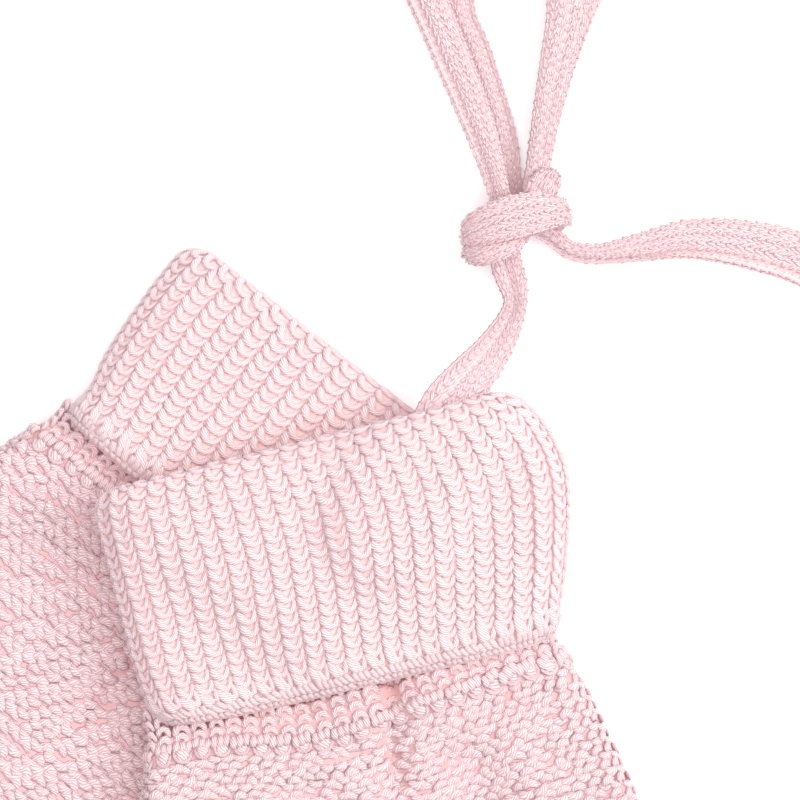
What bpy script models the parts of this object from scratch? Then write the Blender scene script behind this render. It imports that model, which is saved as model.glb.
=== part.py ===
"""A pair of knitted baby mittens, laid flat one over the other, with the knitted cord that joins them.

Each mitten is two pieces: a ribbed cuff, knitted as a tube and turned down over itself, and a hand, a
bag that is closed at the fingertips and sewn along one sunk seam. The cord is a flat knitted tube: it
runs from inside the front cuff to a bow with two loops, and from the bow round to the rear cuff. The
rear mitten lies on the table, and the front one is draped over it.

Sizes in the tables are millimetres, measured flat on the garment. X runs to the right, Y away from the
fingertips, Z up. Along and across are a mitten's own directions, from the middle of its folded edge.
"""

import math
from collections import namedtuple

import bmesh
import bpy
from mathutils import Vector

MM = 0.001

# The knitted cloth
WALL = 2.0              # thickness of the knitted cloth
LAYER_GAP = 0.4         # between the cuff and its turned-down flap
CUFF_HOLLOW = 1.2       # between the two inner panels of a flat cuff
HAND_HALF = 3.6         # half the height of the hand where it lies flat
SEAM_GAP = 0.3          # between two pieces that are sewn together
WRIST_PAST = 0.1        # the cuff's inner wall ends this far past its turned-down edge

# The turned-down cuff
CUFF_HALF = 2 * WALL + LAYER_GAP + CUFF_HOLLOW / 2
FOLD_RADIUS = WALL + LAYER_GAP / 2
RIBS = 48               # ribs round one cuff
RIB_RELIEF = 0.5        # from the groove to the top of a rib
EDGE_ROLL = 0.25        # how far the cast-off edge stands proud
ROLL_LENGTH = 1.5       # how far back from the free edge it does so
EDGE_ROUND = 0.35       # rounding of the free edge
FOLD_STEPS = 4          # facets round the fold
FLAP_ROWS = (5.0, 11.0, 17.0, 24.0, 31.0)   # where the flap has a row of points, from its fold

# The hand
HAND_SIDES = 52
WRIST_HALF = WALL + CUFF_HOLLOW / 2
WRIST_SETTLE = 9.0      # length over which the hand comes down from the cuff to the table
TIP_ROUND = 26.0        # length over which the hand thins out to its tip
LEAST_HOLLOW = 0.3      # half the hollow where the two panels meet at the tip
TIP_END = 2.5           # the hollow ends this far past its last row
SEAM_FROM = 4.0         # the seam is deepest up to here and then fades
LEVEL = 0.9             # a panel counts as facing up above this lean
SEAM_ACROSS = 2.0       # the sewn seam's place at the wrist
SEAM_DRIFT = -0.17      # and how far it drifts aside for each millimetre along
SEAM_DEPTH = 1.1        # how far it sinks
SEAM_HALF = 5.2         # half the width of the sunk valley
SEAM_FADE = 46.0        # length over which the valley fades out towards the tip

# Where the front mitten climbs over the rear one
DRAPE_GAP = 0.4
DRAPE_MARGIN = 4.0      # stays level this far outside the rear mitten's outline
DRAPE_RUN = 19.0        # and then comes down to the table over this length
STEP_PAST = 1.5         # it stays level this far past the rear cuff's free edge
STEP_RUN = 12.0         # and then steps down to the rear hand over this length
RUCK_HEIGHT = 2.8       # the front cuff rises this much over the cord inside it
RUCK_FLAT = 6.0         # half the width of that rise, and the length of its slope
RUCK_SLOPE = 8.0
RUCK_FROM = 5           # the first point of the cord's route that the cuff covers
TUNNEL_HEIGHT = 3.7     # the front hand rises this much over the cord that passes under it
TUNNEL_FLAT = 4.8
TUNNEL_SLOPE = 13.0
TUNNEL_FROM = 14        # the first point of the cord's route that the hand covers

# The cord
CORD_WIDTH = 7.4
CORD_THICK = 2.8
CORD_SIDES = 8
CORD_STEP = 4.5         # between two rings of the solid
ROUTE_STEPS = 12        # points worked out between two of a route's own
TAIL_SPREAD = 1.2       # the tail lies this much flatter than the loops
STEM_SPREAD = 1.12      # and the stem this much

# The middle of the two mittens, which the origin stands under
MIDDLE = Vector((-27.54, -55.378, 0.0))

Row = namedtuple("Row", "along left right")
Width = namedtuple("Width", "along width")
Mitten = namedtuple("Mitten", "name origin heading cuff_length cuff hand_across colour")

# Outlines: how far each side lies from the mitten's axis, at a distance from the folded edge. The right
# side of the front cuff is rounded off at the fold and tapers, and the rear one is even.
FRONT_CUFF = (
    Row(0.0, -34.6, 31.0),
    Row(2.2, -36.4, 33.2),
    Row(6.0, -36.8, 35.6),
    Row(13.0, -36.8, 37.3),
    Row(19.0, -36.8, 36.6),
    Row(28.0, -36.7, 33.8),
    Row(36.0, -35.9, 30.6),
    Row(40.0, -34.2, 29.4),
    Row(42.0, -33.6, 29.2),
)
REAR_CUFF = (
    Row(0.0, -33.0, 33.0),
    Row(2.2, -35.2, 35.2),
    Row(6.0, -35.8, 35.8),
    Row(15.0, -35.6, 35.6),
    Row(23.0, -35.0, 35.0),
    Row(29.0, -33.8, 33.8),
    Row(33.0, -33.8, 33.8),
    Row(37.0, -34.8, 34.8),
    Row(39.0, -34.8, 34.8),
)
# The hand's outline starts at the seam with the cuff.
HAND = (
    Row(0.0, -37.4, 29.4),
    Row(3.0, -38.7, 30.2),
    Row(8.0, -40.7, 31.8),
    Row(17.0, -42.6, 33.7),
    Row(27.0, -44.0, 35.6),
    Row(41.0, -45.0, 37.0),
    Row(55.0, -43.4, 35.2),
    Row(68.0, -38.4, 30.2),
    Row(78.0, -30.8, 22.6),
    Row(85.0, -22.0, 14.0),
    Row(89.0, -12.6, 4.6),
)
# How wide the cord lies at a distance from the knot, which pinches it
STEM_WIDTHS = (
    Width(0.0, 5.8),
    Width(4.0, 5.5),
    Width(8.2, 4.3),
    Width(15.8, 6.0),
    Width(25.6, 8.0),
    Width(31.0, 8.6),
    Width(44.0, 8.6),
)
TAIL_WIDTHS = (
    Width(0.0, 3.9),
    Width(2.0, 3.6),
    Width(8.9, 3.9),
    Width(15.4, 5.4),
    Width(23.5, 7.2),
    Width(34.8, 8.9),
    Width(42.0, 9.2),
    Width(60.0, 8.6),
)
WIDE_STRAND = (
    Width(0.0, 4.2),
    Width(8.0, 5.6),
    Width(16.0, 6.4),
    Width(30.0, 6.9),
    Width(45.0, 7.4),
)
NARROW_STRAND = (
    Width(0.0, 4.4),
    Width(30.0, 4.9),
    Width(44.0, 5.6),
    Width(58.0, 7.4),
)
UPPER_STRAND = (
    Width(0.0, 4.4),
    Width(8.0, 5.0),
    Width(17.0, 6.3),
    Width(26.0, 7.5),
)
HAND_LENGTH = 90.3
TIP_ACROSS = -4.0
HAND_ROWS = (3.0, 8.0, 12.0, 18.0, 25.0, 33.0, 41.0, 50.0, 59.0, 67.0, 74.0, 80.0, 85.0, 88.5)

PINK = (0.83, 0.56, 0.56, 1.0)
ROSE = (0.80, 0.50, 0.51, 1.0)

FRONT = Mitten("front", (-13.3, -6.2), (0.242, -0.970), 40.0, FRONT_CUFF, 0.0, PINK)
REAR = Mitten("rear", (-5.15, 3.75), (-0.616, -0.788), 36.0, REAR_CUFF, 1.7, ROSE)

# Routes of the cord, points picked by hand along its middle in the millimetres of the whole layout
STEM_ROUTE = (
    (16.9, 22.9, 2.6), (18.0, 19.0, 3.2), (18.5, 15.4, 4.6), (17.0, 11.4, 7.6), (14.4, 7.2, 11.0),
    (10.9, 3.0, 14.8), (7.4, -1.4, 17.2), (4.4, -7.4, 17.3), (1.8, -13.6, 17.3), (-0.8, -19.8, 17.3),
)
TAIL_ROUTE = (
    (24.0, 26.6, 2.3), (27.6, 23.9, 1.8), (32.6, 23.5, 1.6), (38.0, 24.4, 1.5), (46.6, 25.8, 1.5),
    (56.0, 24.9, 1.5),
    (66.0, 21.8, 1.5), (75.4, 14.4, 1.5), (82.0, 3.0, 1.5), (85.0, -11.0, 1.5), (85.0, -26.0, 1.5),
    (82.0, -41.0, 1.5), (76.0, -55.0, 1.5), (67.0, -67.0, 1.5), (55.6, -74.6, 1.5), (43.6, -75.0, 1.5),
    (33.0, -66.4, 1.5), (25.6, -55.0, 1.5), (18.6, -43.2, 1.5), (12.5, -32.7, 1.5),
)
LOOP_A_ROUTE = (
    (15.4, 34.3, 4.6), (13.3, 41.4, 4.7), (10.9, 48.0, 4.7), (7.6, 56.0, 4.7), (4.2, 64.0, 4.6),
    (-0.6, 74.0, 3.4), (-6.6, 84.0, 1.8), (-11.4, 95.0, 1.5), (-12.0, 107.0, 1.5), (-6.0, 117.0, 1.5),
    (4.6, 119.6, 1.5), (14.0, 113.6, 1.5), (17.4, 102.4, 1.5), (15.8, 90.0, 1.5), (12.6, 77.0, 1.5),
    (9.9, 64.0, 1.5), (12.6, 56.0, 1.5), (15.2, 48.0, 1.5), (16.9, 41.6, 1.5), (17.7, 34.8, 1.5),
)
LOOP_B_ROUTE = (
    (21.9, 37.0, 1.4), (22.9, 43.0, 1.5), (24.3, 50.0, 1.5), (26.0, 57.0, 1.5), (28.6, 64.4, 1.5),
    (34.6, 74.0, 1.5), (43.0, 83.0, 1.5), (49.4, 93.6, 1.5), (50.0, 105.0, 1.5), (43.0, 113.4, 1.5),
    (32.6, 113.4, 1.5), (26.0, 104.4, 1.5), (24.8, 92.4, 2.0), (25.6, 81.4, 3.4), (26.8, 70.0, 4.7),
    (26.8, 62.0, 4.8), (25.2, 54.0, 4.8), (23.6, 46.4, 4.8), (22.4, 38.6, 4.8),
)

# The bow's knot: the cord wound round its own stem, as three rounded turns
Turn = namedtuple("Turn", "name middle size tilt")
KNOT_TURNS = (
    Turn("band", (19.2, 30.2, 5.2), (18.6, 9.4, 9.4), 16.0),
    Turn("lower", (13.2, 25.2, 4.4), (8.6, 6.8, 7.2), 25.0),
    Turn("upper", (24.2, 33.6, 4.6), (5.8, 7.6, 7.6), 0.0),
)


def read(rows, column, along):
    """A column of a table at any distance along, on a smooth curve through its rows."""
    places = [row.along for row in rows]
    values = [getattr(row, column) for row in rows]
    if along <= places[0]:
        return values[0]
    if along >= places[-1]:
        return values[-1]
    at = max(i for i, place in enumerate(places) if place <= along)
    slopes = []
    for i in (at, at + 1):
        low, high = max(i - 1, 0), min(i + 1, len(rows) - 1)
        slopes.append((values[high] - values[low]) / (places[high] - places[low]))
    step = places[at + 1] - places[at]
    t = (along - places[at]) / step
    return (
        values[at] * (1 + 2 * t) * (1 - t) ** 2
        + slopes[0] * step * t * (1 - t) ** 2
        + values[at + 1] * t * t * (3 - 2 * t)
        + slopes[1] * step * t * t * (t - 1)
    )


def fall(distance, flat, run):
    """1 up to a distance, then down to 0 over a run, with soft shoulders."""
    t = min(1.0, max(0.0, (distance - flat) / run))
    return 0.5 + 0.5 * math.cos(math.pi * t)


def distance_to_line(point, line):
    """Shortest distance on the table from a point to a run of points."""
    best = 1e9
    for start, end in zip(line[:-1], line[1:]):
        a = Vector(start[:2])
        b = Vector(end[:2])
        t = (point - a).dot(b - a) / (b - a).length_squared
        best = min(best, (point - a.lerp(b, min(1.0, max(0.0, t)))).length)
    return best


def to_layout(mitten, along, across):
    """From a mitten's own directions to the layout on the table."""
    heading = Vector(mitten.heading).normalized()
    side = Vector((-heading.y, heading.x))
    return Vector(mitten.origin) + heading * along + side * across


def from_layout(mitten, point):
    """From the layout on the table to a mitten's own along and across."""
    heading = Vector(mitten.heading).normalized()
    side = Vector((-heading.y, heading.x))
    offset = point - Vector(mitten.origin)
    return offset.dot(heading), offset.dot(side)


def outline(mitten, along):
    """Left and right of a mitten's outline at a distance from its fold, over the cuff and the hand."""
    past = along - mitten.cuff_length
    if past < 0:
        return read(mitten.cuff, "left", along), read(mitten.cuff, "right", along)
    shift = mitten.hand_across
    return read(HAND, "left", past) + shift, read(HAND, "right", past) + shift


def drape(point):
    """How high the front mitten is lifted at a place on the table, over the rear mitten and the cord."""
    along, across = from_layout(REAR, point)
    left, right = outline(REAR, along)
    outside = max(left - across, across - right, -along)
    cuff_top = 2 * CUFF_HALF + RIB_RELIEF
    hand_top = CUFF_HALF + WRIST_HALF
    on_cuff = fall(along, REAR.cuff_length + STEP_PAST, STEP_RUN)
    top = hand_top + (cuff_top - hand_top) * on_cuff + DRAPE_GAP
    over_rear = top * fall(outside, DRAPE_MARGIN, DRAPE_RUN)
    under = distance_to_line(point, TAIL_ROUTE[TUNNEL_FROM:])
    over_cord = TUNNEL_HEIGHT * fall(under, TUNNEL_FLAT, TUNNEL_SLOPE)
    return math.hypot(over_rear, over_cord)


def ruck(point):
    """Rise of the front cuff's upper layers over the cord that runs inside it."""
    return RUCK_HEIGHT * fall(distance_to_line(point, STEM_ROUTE[RUCK_FROM:]), RUCK_FLAT, RUCK_SLOPE)


def section(row, half, middle, depth, turn):
    """A point (across, up, lean) of a flattened tube, a depth in from its outside.

    The turn runs from 0 to 1: over the top from left to right, round the right side, back along the
    underside and round the left. Lean is 1 where the tube faces up and -1 where it faces down.
    """
    left, right = row
    run = (right - left) / 2 - half
    centre = (left + right) / 2
    arc = math.pi * half
    radius = half - depth
    step = turn * (4 * run + 2 * arc)
    if step < 2 * run:
        return centre - run + step, middle + radius, 1.0
    step -= 2 * run
    if step < arc:
        angle = step / half
        return centre + run + radius * math.sin(angle), middle + radius * math.cos(angle), math.cos(angle)
    step -= arc
    if step < 2 * run:
        return centre + run - step, middle - radius, -1.0
    angle = (step - 2 * run) / half
    return centre - run - radius * math.sin(angle), middle - radius * math.cos(angle), -math.cos(angle)


def place(mitten, along, across, up, lean):
    """A point of a mitten in the layout, the front one lifted over what lies under it."""
    flat = to_layout(mitten, along, across)
    lift = 0.0
    if mitten is FRONT:
        lift = drape(flat)
        if lean > 0 and along < mitten.cuff_length:
            lift += ruck(flat) * min(1.0, 2 * lean)
    return (Vector((flat.x, flat.y, up + lift)) - MIDDLE) * MM


def cuff_profile(length):
    """The cuff's cut edge, as (along, depth, ribbed): the flap, round the fold, the inner wall and back."""
    inner = WALL + LAYER_GAP
    deep = inner + WALL
    end = length - ROLL_LENGTH
    outer_rows = [(along, 0.0, True) for along in reversed(FLAP_ROWS)]
    round_fold = []
    for k in range(FOLD_STEPS + 1):
        angle = math.pi * k / FOLD_STEPS
        along = FOLD_RADIUS * (1 - math.sin(angle))
        round_fold.append((along, FOLD_RADIUS * (1 - math.cos(angle)), k < 2))
    profile = [(length - EDGE_ROUND, EDGE_ROLL, False), (end, -EDGE_ROLL, True)]
    profile += outer_rows + round_fold
    profile += [(along, deep, False) for along in FLAP_ROWS] + [(end, deep, False)]
    wrist = length + WRIST_PAST
    profile += [(wrist, deep, False), (wrist, inner, False), (end, inner, False)]
    profile += [(along, inner, False) for along in reversed(FLAP_ROWS)]
    profile += [(FOLD_RADIUS, FOLD_RADIUS, False)]
    profile += [(along, WALL, False) for along in FLAP_ROWS]
    profile += [(end, WALL, False), (length - EDGE_ROUND, WALL - EDGE_ROLL, False)]
    profile += [(length, WALL / 2, False)]
    return profile


def finish(name, mesh, colour, roughness=0.85):
    """Puts a mesh in the scene under its name, smooth, with its own material."""
    obj = bpy.data.objects.new(name, mesh)
    PARTS.objects.link(obj)
    dress(obj, colour, roughness)
    return obj


def dress(obj, colour, roughness=0.85):
    material = bpy.data.materials.new(obj.name + "_yarn")
    material.use_nodes = True
    shader = material.node_tree.nodes["Principled BSDF"]
    shader.inputs["Base Color"].default_value = colour
    shader.inputs["Roughness"].default_value = roughness
    shader.inputs["Metallic"].default_value = 0.0
    material.diffuse_color = colour
    obj.data.materials.append(material)


def make_cuff(mitten):
    """A ribbed tube turned down over itself: its cut edge swept round the flattened wrist."""
    build = bmesh.new()
    rings = []
    profile = cuff_profile(mitten.cuff_length)
    for along, depth, ribbed in profile:
        row = (read(mitten.cuff, "left", along), read(mitten.cuff, "right", along))
        ring = []
        for k in range(2 * RIBS if ribbed else RIBS):
            turn = k / (2 * RIBS if ribbed else RIBS)
            lean = section(row, CUFF_HALF, CUFF_HALF, depth, turn)[2]
            raised = RIB_RELIEF * (0.5 + 0.5 * lean) if ribbed and k % 2 else 0.0
            across, up, lean = section(row, CUFF_HALF, CUFF_HALF, depth - raised, turn)
            up = max(up, 0.0)
            ring.append(build.verts.new(place(mitten, along, across, up, lean)))
        rings.append(ring)
    for first, second in zip(rings, rings[1:] + rings[:1]):
        join_rings(build, first, second)
    bmesh.ops.recalc_face_normals(build, faces=build.faces)
    return finish(mitten.name + "_cuff", to_mesh(build, mitten.name + "_cuff"), mitten.colour)


def join_rings(build, first, second):
    """Faces between two rings, where one may have twice the points of the other."""
    if len(first) == len(second):
        for k in range(len(first)):
            j = (k + 1) % len(first)
            build.faces.new((first[k], first[j], second[j], second[k]))
        return
    fine, coarse = (first, second) if len(first) > len(second) else (second, first)
    for k in range(len(coarse)):
        j = (k + 1) % len(coarse)
        a, b, c = fine[2 * k], fine[2 * k + 1], fine[(2 * k + 2) % len(fine)]
        build.faces.new((a, b, coarse[k]))
        build.faces.new((b, c, coarse[j]))
        build.faces.new((b, coarse[j], coarse[k]))


def to_mesh(build, name):
    """A finished mesh from a bmesh, shaded smooth."""
    mesh = bpy.data.meshes.new(name)
    bmesh.ops.triangulate(build, faces=build.faces)
    build.to_mesh(mesh)
    build.free()
    mesh.shade_smooth()
    mesh.set_sharp_from_angle(angle=math.radians(50))
    return mesh


def hand_half(along):
    """Half the height of the hand: thin at the cuff, full where it lies flat, thin again at the tip."""
    settled = WRIST_HALF + (HAND_HALF - WRIST_HALF) * (1 - fall(along, 0.0, WRIST_SETTLE))
    to_tip = (along - (HAND_LENGTH - TIP_ROUND)) / TIP_ROUND
    return settled * math.sqrt(max(0.0, 1 - max(0.0, to_tip) ** 2)) if to_tip > 0 else settled


def hand_middle(along):
    """Height of the hand's middle: the cuff's own at the wrist, and lying on the table further on."""
    return hand_half(along) + (CUFF_HALF - WRIST_HALF) * fall(along, 0.0, WRIST_SETTLE)


def seam_valley(along, across, lean):
    """How far the sewn seam of the palm pulls the upper panel in."""
    if lean < LEVEL:
        return 0.0
    fades = fall(along, SEAM_FROM, SEAM_FADE)
    return SEAM_DEPTH * fades * fall(abs(across - SEAM_ACROSS - SEAM_DRIFT * along), 0.0, SEAM_HALF)


def make_hand(mitten):
    """A bag, closed at the fingertips and open at the wrist, with the same rows inside and out."""
    build = bmesh.new()
    start = mitten.cuff_length + WRIST_PAST + SEAM_GAP

    def ring(along, depth):
        row = [read(HAND, side, along) + mitten.hand_across for side in ("left", "right")]
        half, middle = hand_half(along), hand_middle(along)
        points = []
        for k in range(HAND_SIDES):
            across, up, lean = section(row, half, middle, min(depth, half - LEAST_HOLLOW), k / HAND_SIDES)
            up -= seam_valley(along, across, lean)
            points.append(build.verts.new(place(mitten, start + along, across, up, lean)))
        return points

    def tip(along):
        across = TIP_ACROSS + mitten.hand_across
        return build.verts.new(place(mitten, start + along, across, hand_middle(along), 0.0))

    outer = [ring(along, 0.0) for along in (0.0,) + HAND_ROWS]
    inner = [ring(along, WALL) for along in (0.0,) + HAND_ROWS[:-2]]
    for first, second in zip(outer[:-1], outer[1:]):
        join_rings(build, first, second)
    for first, second in zip(inner[:-1], inner[1:]):
        join_rings(build, first, second)
    join_rings(build, outer[0], inner[0])
    for last, point in ((outer[-1], tip(HAND_LENGTH)), (inner[-1], tip(HAND_ROWS[-3] + TIP_END))):
        for k in range(HAND_SIDES):
            build.faces.new((last[k], last[(k + 1) % HAND_SIDES], point))
    bmesh.ops.recalc_face_normals(build, faces=build.faces)
    return finish(mitten.name + "_hand", to_mesh(build, mitten.name + "_hand"), mitten.colour)


def smooth_route(points, step):
    """Points every step along a smooth curve through a route's own points."""
    knots = [Vector(point) for point in points]
    fine = []
    for i in range(len(knots) - 1):
        before = knots[max(i - 1, 0)]
        after = knots[min(i + 2, len(knots) - 1)]
        start, end = knots[i], knots[i + 1]
        for k in range(ROUTE_STEPS):
            t = k / ROUTE_STEPS
            fine.append(
                0.5 * (2 * start + (end - before) * t + (2 * before - 5 * start + 4 * end - after) * t * t
                       + (3 * start - before - 3 * end + after) * t ** 3)
            )
    fine.append(knots[-1])
    lengths = [0.0]
    for a, b in zip(fine[:-1], fine[1:]):
        lengths.append(lengths[-1] + (b - a).length)
    count = round(lengths[-1] / step)
    out = []
    at = 0
    for k in range(count + 1):
        target = lengths[-1] * k / count
        while at < len(lengths) - 2 and lengths[at + 1] < target:
            at += 1
        share = (target - lengths[at]) / max(1e-9, lengths[at + 1] - lengths[at])
        out.append(fine[at].lerp(fine[at + 1], min(1.0, share)))
    return out


def make_cord(name, route, widths, end_widths=None, spread=1.0):
    """A stretch of the flat cord from the knot: an oval swept along its route, lying flat.

    A loop comes back to the knot and has a second table, read from its far end.
    """
    oval = bpy.data.curves.new(name + "_section", "CURVE")
    oval.dimensions = "2D"
    oval.fill_mode = "NONE"
    outline = oval.splines.new("POLY")
    outline.points.add(CORD_SIDES - 1)
    for k, point in enumerate(outline.points):
        angle = -2 * math.pi * k / CORD_SIDES
        across = CORD_WIDTH / 2 * math.cos(angle)
        up = CORD_THICK / 2 / spread * math.sin(angle)
        point.co = (across * MM, up * MM, 0, 1)
    outline.use_cyclic_u = True
    guide = bpy.data.objects.new(name + "_section", oval)
    guide.hide_render = True
    guide.display_type = "WIRE"
    GUIDES.objects.link(guide)

    curve = bpy.data.curves.new(name, "CURVE")
    curve.dimensions = "3D"
    curve.twist_mode = "Z_UP"
    curve.render_resolution_u = 0
    curve.bevel_mode = "OBJECT"
    curve.bevel_object = guide
    curve.use_fill_caps = True
    points = smooth_route(route, CORD_STEP)
    line = curve.splines.new("POLY")
    line.points.add(len(points) - 1)
    total = CORD_STEP * (len(points) - 1)
    for k, (point, spot) in enumerate(zip(line.points, points)):
        point.co = ((spot - MIDDLE) * MM).to_4d()
        width = read(widths, "width", k * CORD_STEP)
        if end_widths:
            width = min(width, read(end_widths, "width", total - k * CORD_STEP))
        point.radius = width / CORD_WIDTH
    line.use_smooth = True
    cord = bpy.data.objects.new(name, curve)
    PARTS.objects.link(cord)
    dress(cord, PINK)
    return cord


def make_knot():
    """The knot: three rounded turns of the cord, joined into one solid."""
    turns = []
    for turn in KNOT_TURNS:
        bpy.ops.mesh.primitive_uv_sphere_add(segments=20, ring_count=12, radius=0.5)
        ball = bpy.context.object
        ball.data.transform(ball.matrix_world)
        ball.name = "cord_knot" if turn is KNOT_TURNS[0] else "knot_" + turn.name
        for collection in list(ball.users_collection):
            collection.objects.unlink(ball)
        ball.scale = Vector(turn.size) * MM
        ball.rotation_euler.z = math.radians(turn.tilt)
        ball.location = (Vector(turn.middle) - MIDDLE) * MM
        turns.append(ball)
    knot = turns[0]
    PARTS.objects.link(knot)
    dress(knot, PINK)
    knot.data.shade_smooth()
    for other in turns[1:]:
        GUIDES.objects.link(other)
        other.hide_render = True
        other.display_type = "WIRE"
        join = knot.modifiers.new("join_" + other.name, "BOOLEAN")
        join.operation = "UNION"
        join.object = other
    return knot


for thing in list(bpy.data.objects):
    bpy.data.objects.remove(thing)
PARTS = bpy.data.collections.new("mittens")
GUIDES = bpy.data.collections.new("guides")
bpy.context.scene.collection.children.link(PARTS)
bpy.context.scene.collection.children.link(GUIDES)

for one in (REAR, FRONT):
    make_cuff(one)
    make_hand(one)
make_knot()
make_cord("cord_stem", STEM_ROUTE, STEM_WIDTHS, spread=STEM_SPREAD)
make_cord("cord_tail", TAIL_ROUTE, TAIL_WIDTHS, spread=TAIL_SPREAD)
make_cord("cord_loop_a", LOOP_A_ROUTE, WIDE_STRAND, NARROW_STRAND)
make_cord("cord_loop_b", LOOP_B_ROUTE, UPPER_STRAND, UPPER_STRAND)
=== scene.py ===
"""The looks of a pair of knitted baby mittens that lie flat, one over the other, joined by a knitted cord.

Every piece has a thin cloth in its solid's own form, coloured deeper than the yarn as painted shade for
the pits between stitches, and the yarn of its stitches drawn on that cloth one by one: ribs on the
turned-down cuffs, purl bumps on the hands and plain stitches in rows along the cord. The knot of the bow
is three turns of the cord. Tables are in millimetres, in the layout of the pair on the table: X to the
right, Y away from the fingertips, Z up.
"""

from __future__ import annotations

import logging
import math
from dataclasses import dataclass
from enum import Enum

import bmesh
import bpy
import numpy as np
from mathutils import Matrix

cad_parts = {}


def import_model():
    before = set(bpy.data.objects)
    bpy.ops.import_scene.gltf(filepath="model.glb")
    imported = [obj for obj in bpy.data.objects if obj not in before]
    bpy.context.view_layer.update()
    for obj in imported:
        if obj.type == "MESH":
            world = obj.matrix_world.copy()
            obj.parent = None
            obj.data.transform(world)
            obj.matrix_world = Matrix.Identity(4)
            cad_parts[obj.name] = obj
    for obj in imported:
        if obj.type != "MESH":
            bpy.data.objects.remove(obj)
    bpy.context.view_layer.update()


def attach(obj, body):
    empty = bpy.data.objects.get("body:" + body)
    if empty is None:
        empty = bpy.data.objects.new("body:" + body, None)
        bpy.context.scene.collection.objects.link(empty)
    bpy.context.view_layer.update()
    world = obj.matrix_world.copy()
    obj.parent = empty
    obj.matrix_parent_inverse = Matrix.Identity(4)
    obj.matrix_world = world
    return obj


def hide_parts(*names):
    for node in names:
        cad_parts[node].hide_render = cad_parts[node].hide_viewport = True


LOG = logging.getLogger("mittens")

MM = 0.001
MIDDLE = np.array((-27.54, -55.378, 0.0))       # the layout's place of the frame's origin
UP = np.array((0.0, 0.0, 1.0))
SEED = 11
LEAST_SCALE = 0.4       # a stitch is knitted no smaller than this against its own size
MOST_SCALE = 1.5        # and no larger
# Each stitch gets a random share of the painted highlight, no less than this
LEAST_HIGHLIGHT_SHARE = 0.35      # the dullest stitch has this share of the brightest one's gloss
COVERED = 7.0           # stitches pressed between the mittens this far inside an outline are left out
PRESSED_REAR = (0.0, 0.42)       # the places round the rear mitten that face the front one
PRESSED_FRONT = (0.521, 0.90)    # and round the front mitten that face the rear one
# Painted glow: faint rose emission on the yarn and the cloth, standing in for light that passes through the
# yarn
PAINTED_GLOW_COLOUR = "#E2AEB0"
PAINTED_GLOW = 0.09

# The knitted cloth, as the solids have it
WALL = 2.0
LAYER_GAP = 0.4
CUFF_HALF = 5.0
FOLD_RADIUS = 2.2
WRIST_HALF = 2.6
WRIST_PAST = 0.1
SEAM_GAP = 0.3
RIBS = 48
HAND_HALF = 3.6
WRIST_SETTLE = 9.0
OUTLINE_FROM = -5.0     # the cuff's outline passes into the hand's from here
OUTLINE_RUN = 10.0      # over this length
TIP_ROUND = 26.0
HAND_LENGTH = 90.3
LEAST_HOLLOW = 0.3

# The sewn seam, a valley with a notch in it and a soft swelling on either side
SEAM_ACROSS = 2.0
SEAM_DRIFT = -0.17
SEAM_DEPTH = 1.7
SEAM_HALF = 3.6
SEAM_FROM = 4.0
SEAM_FADE = 46.0
NOTCH_DEPTH = 1.1
NOTCH_HALF = 1.5
SWELL_HEIGHT = 0.8
SWELL_BESIDE = 8.0
SWELL_HALF = 5.0

# A wrinkle of the hand, a ridge with a shallower trough past it
WRINKLE_HALF = 1.7
TROUGH_SHARE = 0.8
TROUGH_PAST = 2.4
TROUGH_HALF = 1.5

# Where the front mitten climbs over the rear one and over the cord
DRAPE_GAP = 0.4
DRAPE_MARGIN = 4.0
DRAPE_RUN = 19.0
STEP_PAST = 1.5
STEP_RUN = 12.0
RUCK_HEIGHT = 2.8
RUCK_FLAT = 6.0
RUCK_SLOPE = 8.0
RUCK_FROM = 5
TUNNEL_HEIGHT = 3.7
TUNNEL_FLAT = 4.8
TUNNEL_SLOPE = 13.0
TUNNEL_FROM = 14

# The cord
CORD_WIDTH = 7.4
CORD_THICK = 2.8
TAIL_SPREAD = 1.2
STEM_SPREAD = 1.12

# Distance from the cuff's folded edge or the hand's seam with the cuff, then an outline's left and right
FRONT_CUFF = (
    (0.0, -34.6, 31.0),
    (2.2, -36.4, 33.2),
    (6.0, -36.8, 35.6),
    (13.0, -36.8, 37.3),
    (19.0, -36.8, 36.6),
    (28.0, -36.7, 33.8),
    (36.0, -35.9, 30.6),
    (40.0, -34.2, 29.4),
    (42.0, -33.6, 29.2),
)
REAR_CUFF = (
    (0.0, -33.0, 33.0),
    (2.2, -35.2, 35.2),
    (6.0, -35.8, 35.8),
    (15.0, -35.6, 35.6),
    (23.0, -35.0, 35.0),
    (29.0, -33.8, 33.8),
    (33.0, -33.8, 33.8),
    (37.0, -34.8, 34.8),
    (39.0, -34.8, 34.8),
)
HAND = (
    (0.0, -37.4, 29.4),
    (3.0, -38.7, 30.2),
    (8.0, -40.7, 31.8),
    (17.0, -42.6, 33.7),
    (27.0, -44.0, 35.6),
    (41.0, -45.0, 37.0),
    (55.0, -43.4, 35.2),
    (68.0, -38.4, 30.2),
    (78.0, -30.8, 22.6),
    (85.0, -22.0, 14.0),
    (89.0, -12.6, 4.6),
)

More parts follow.
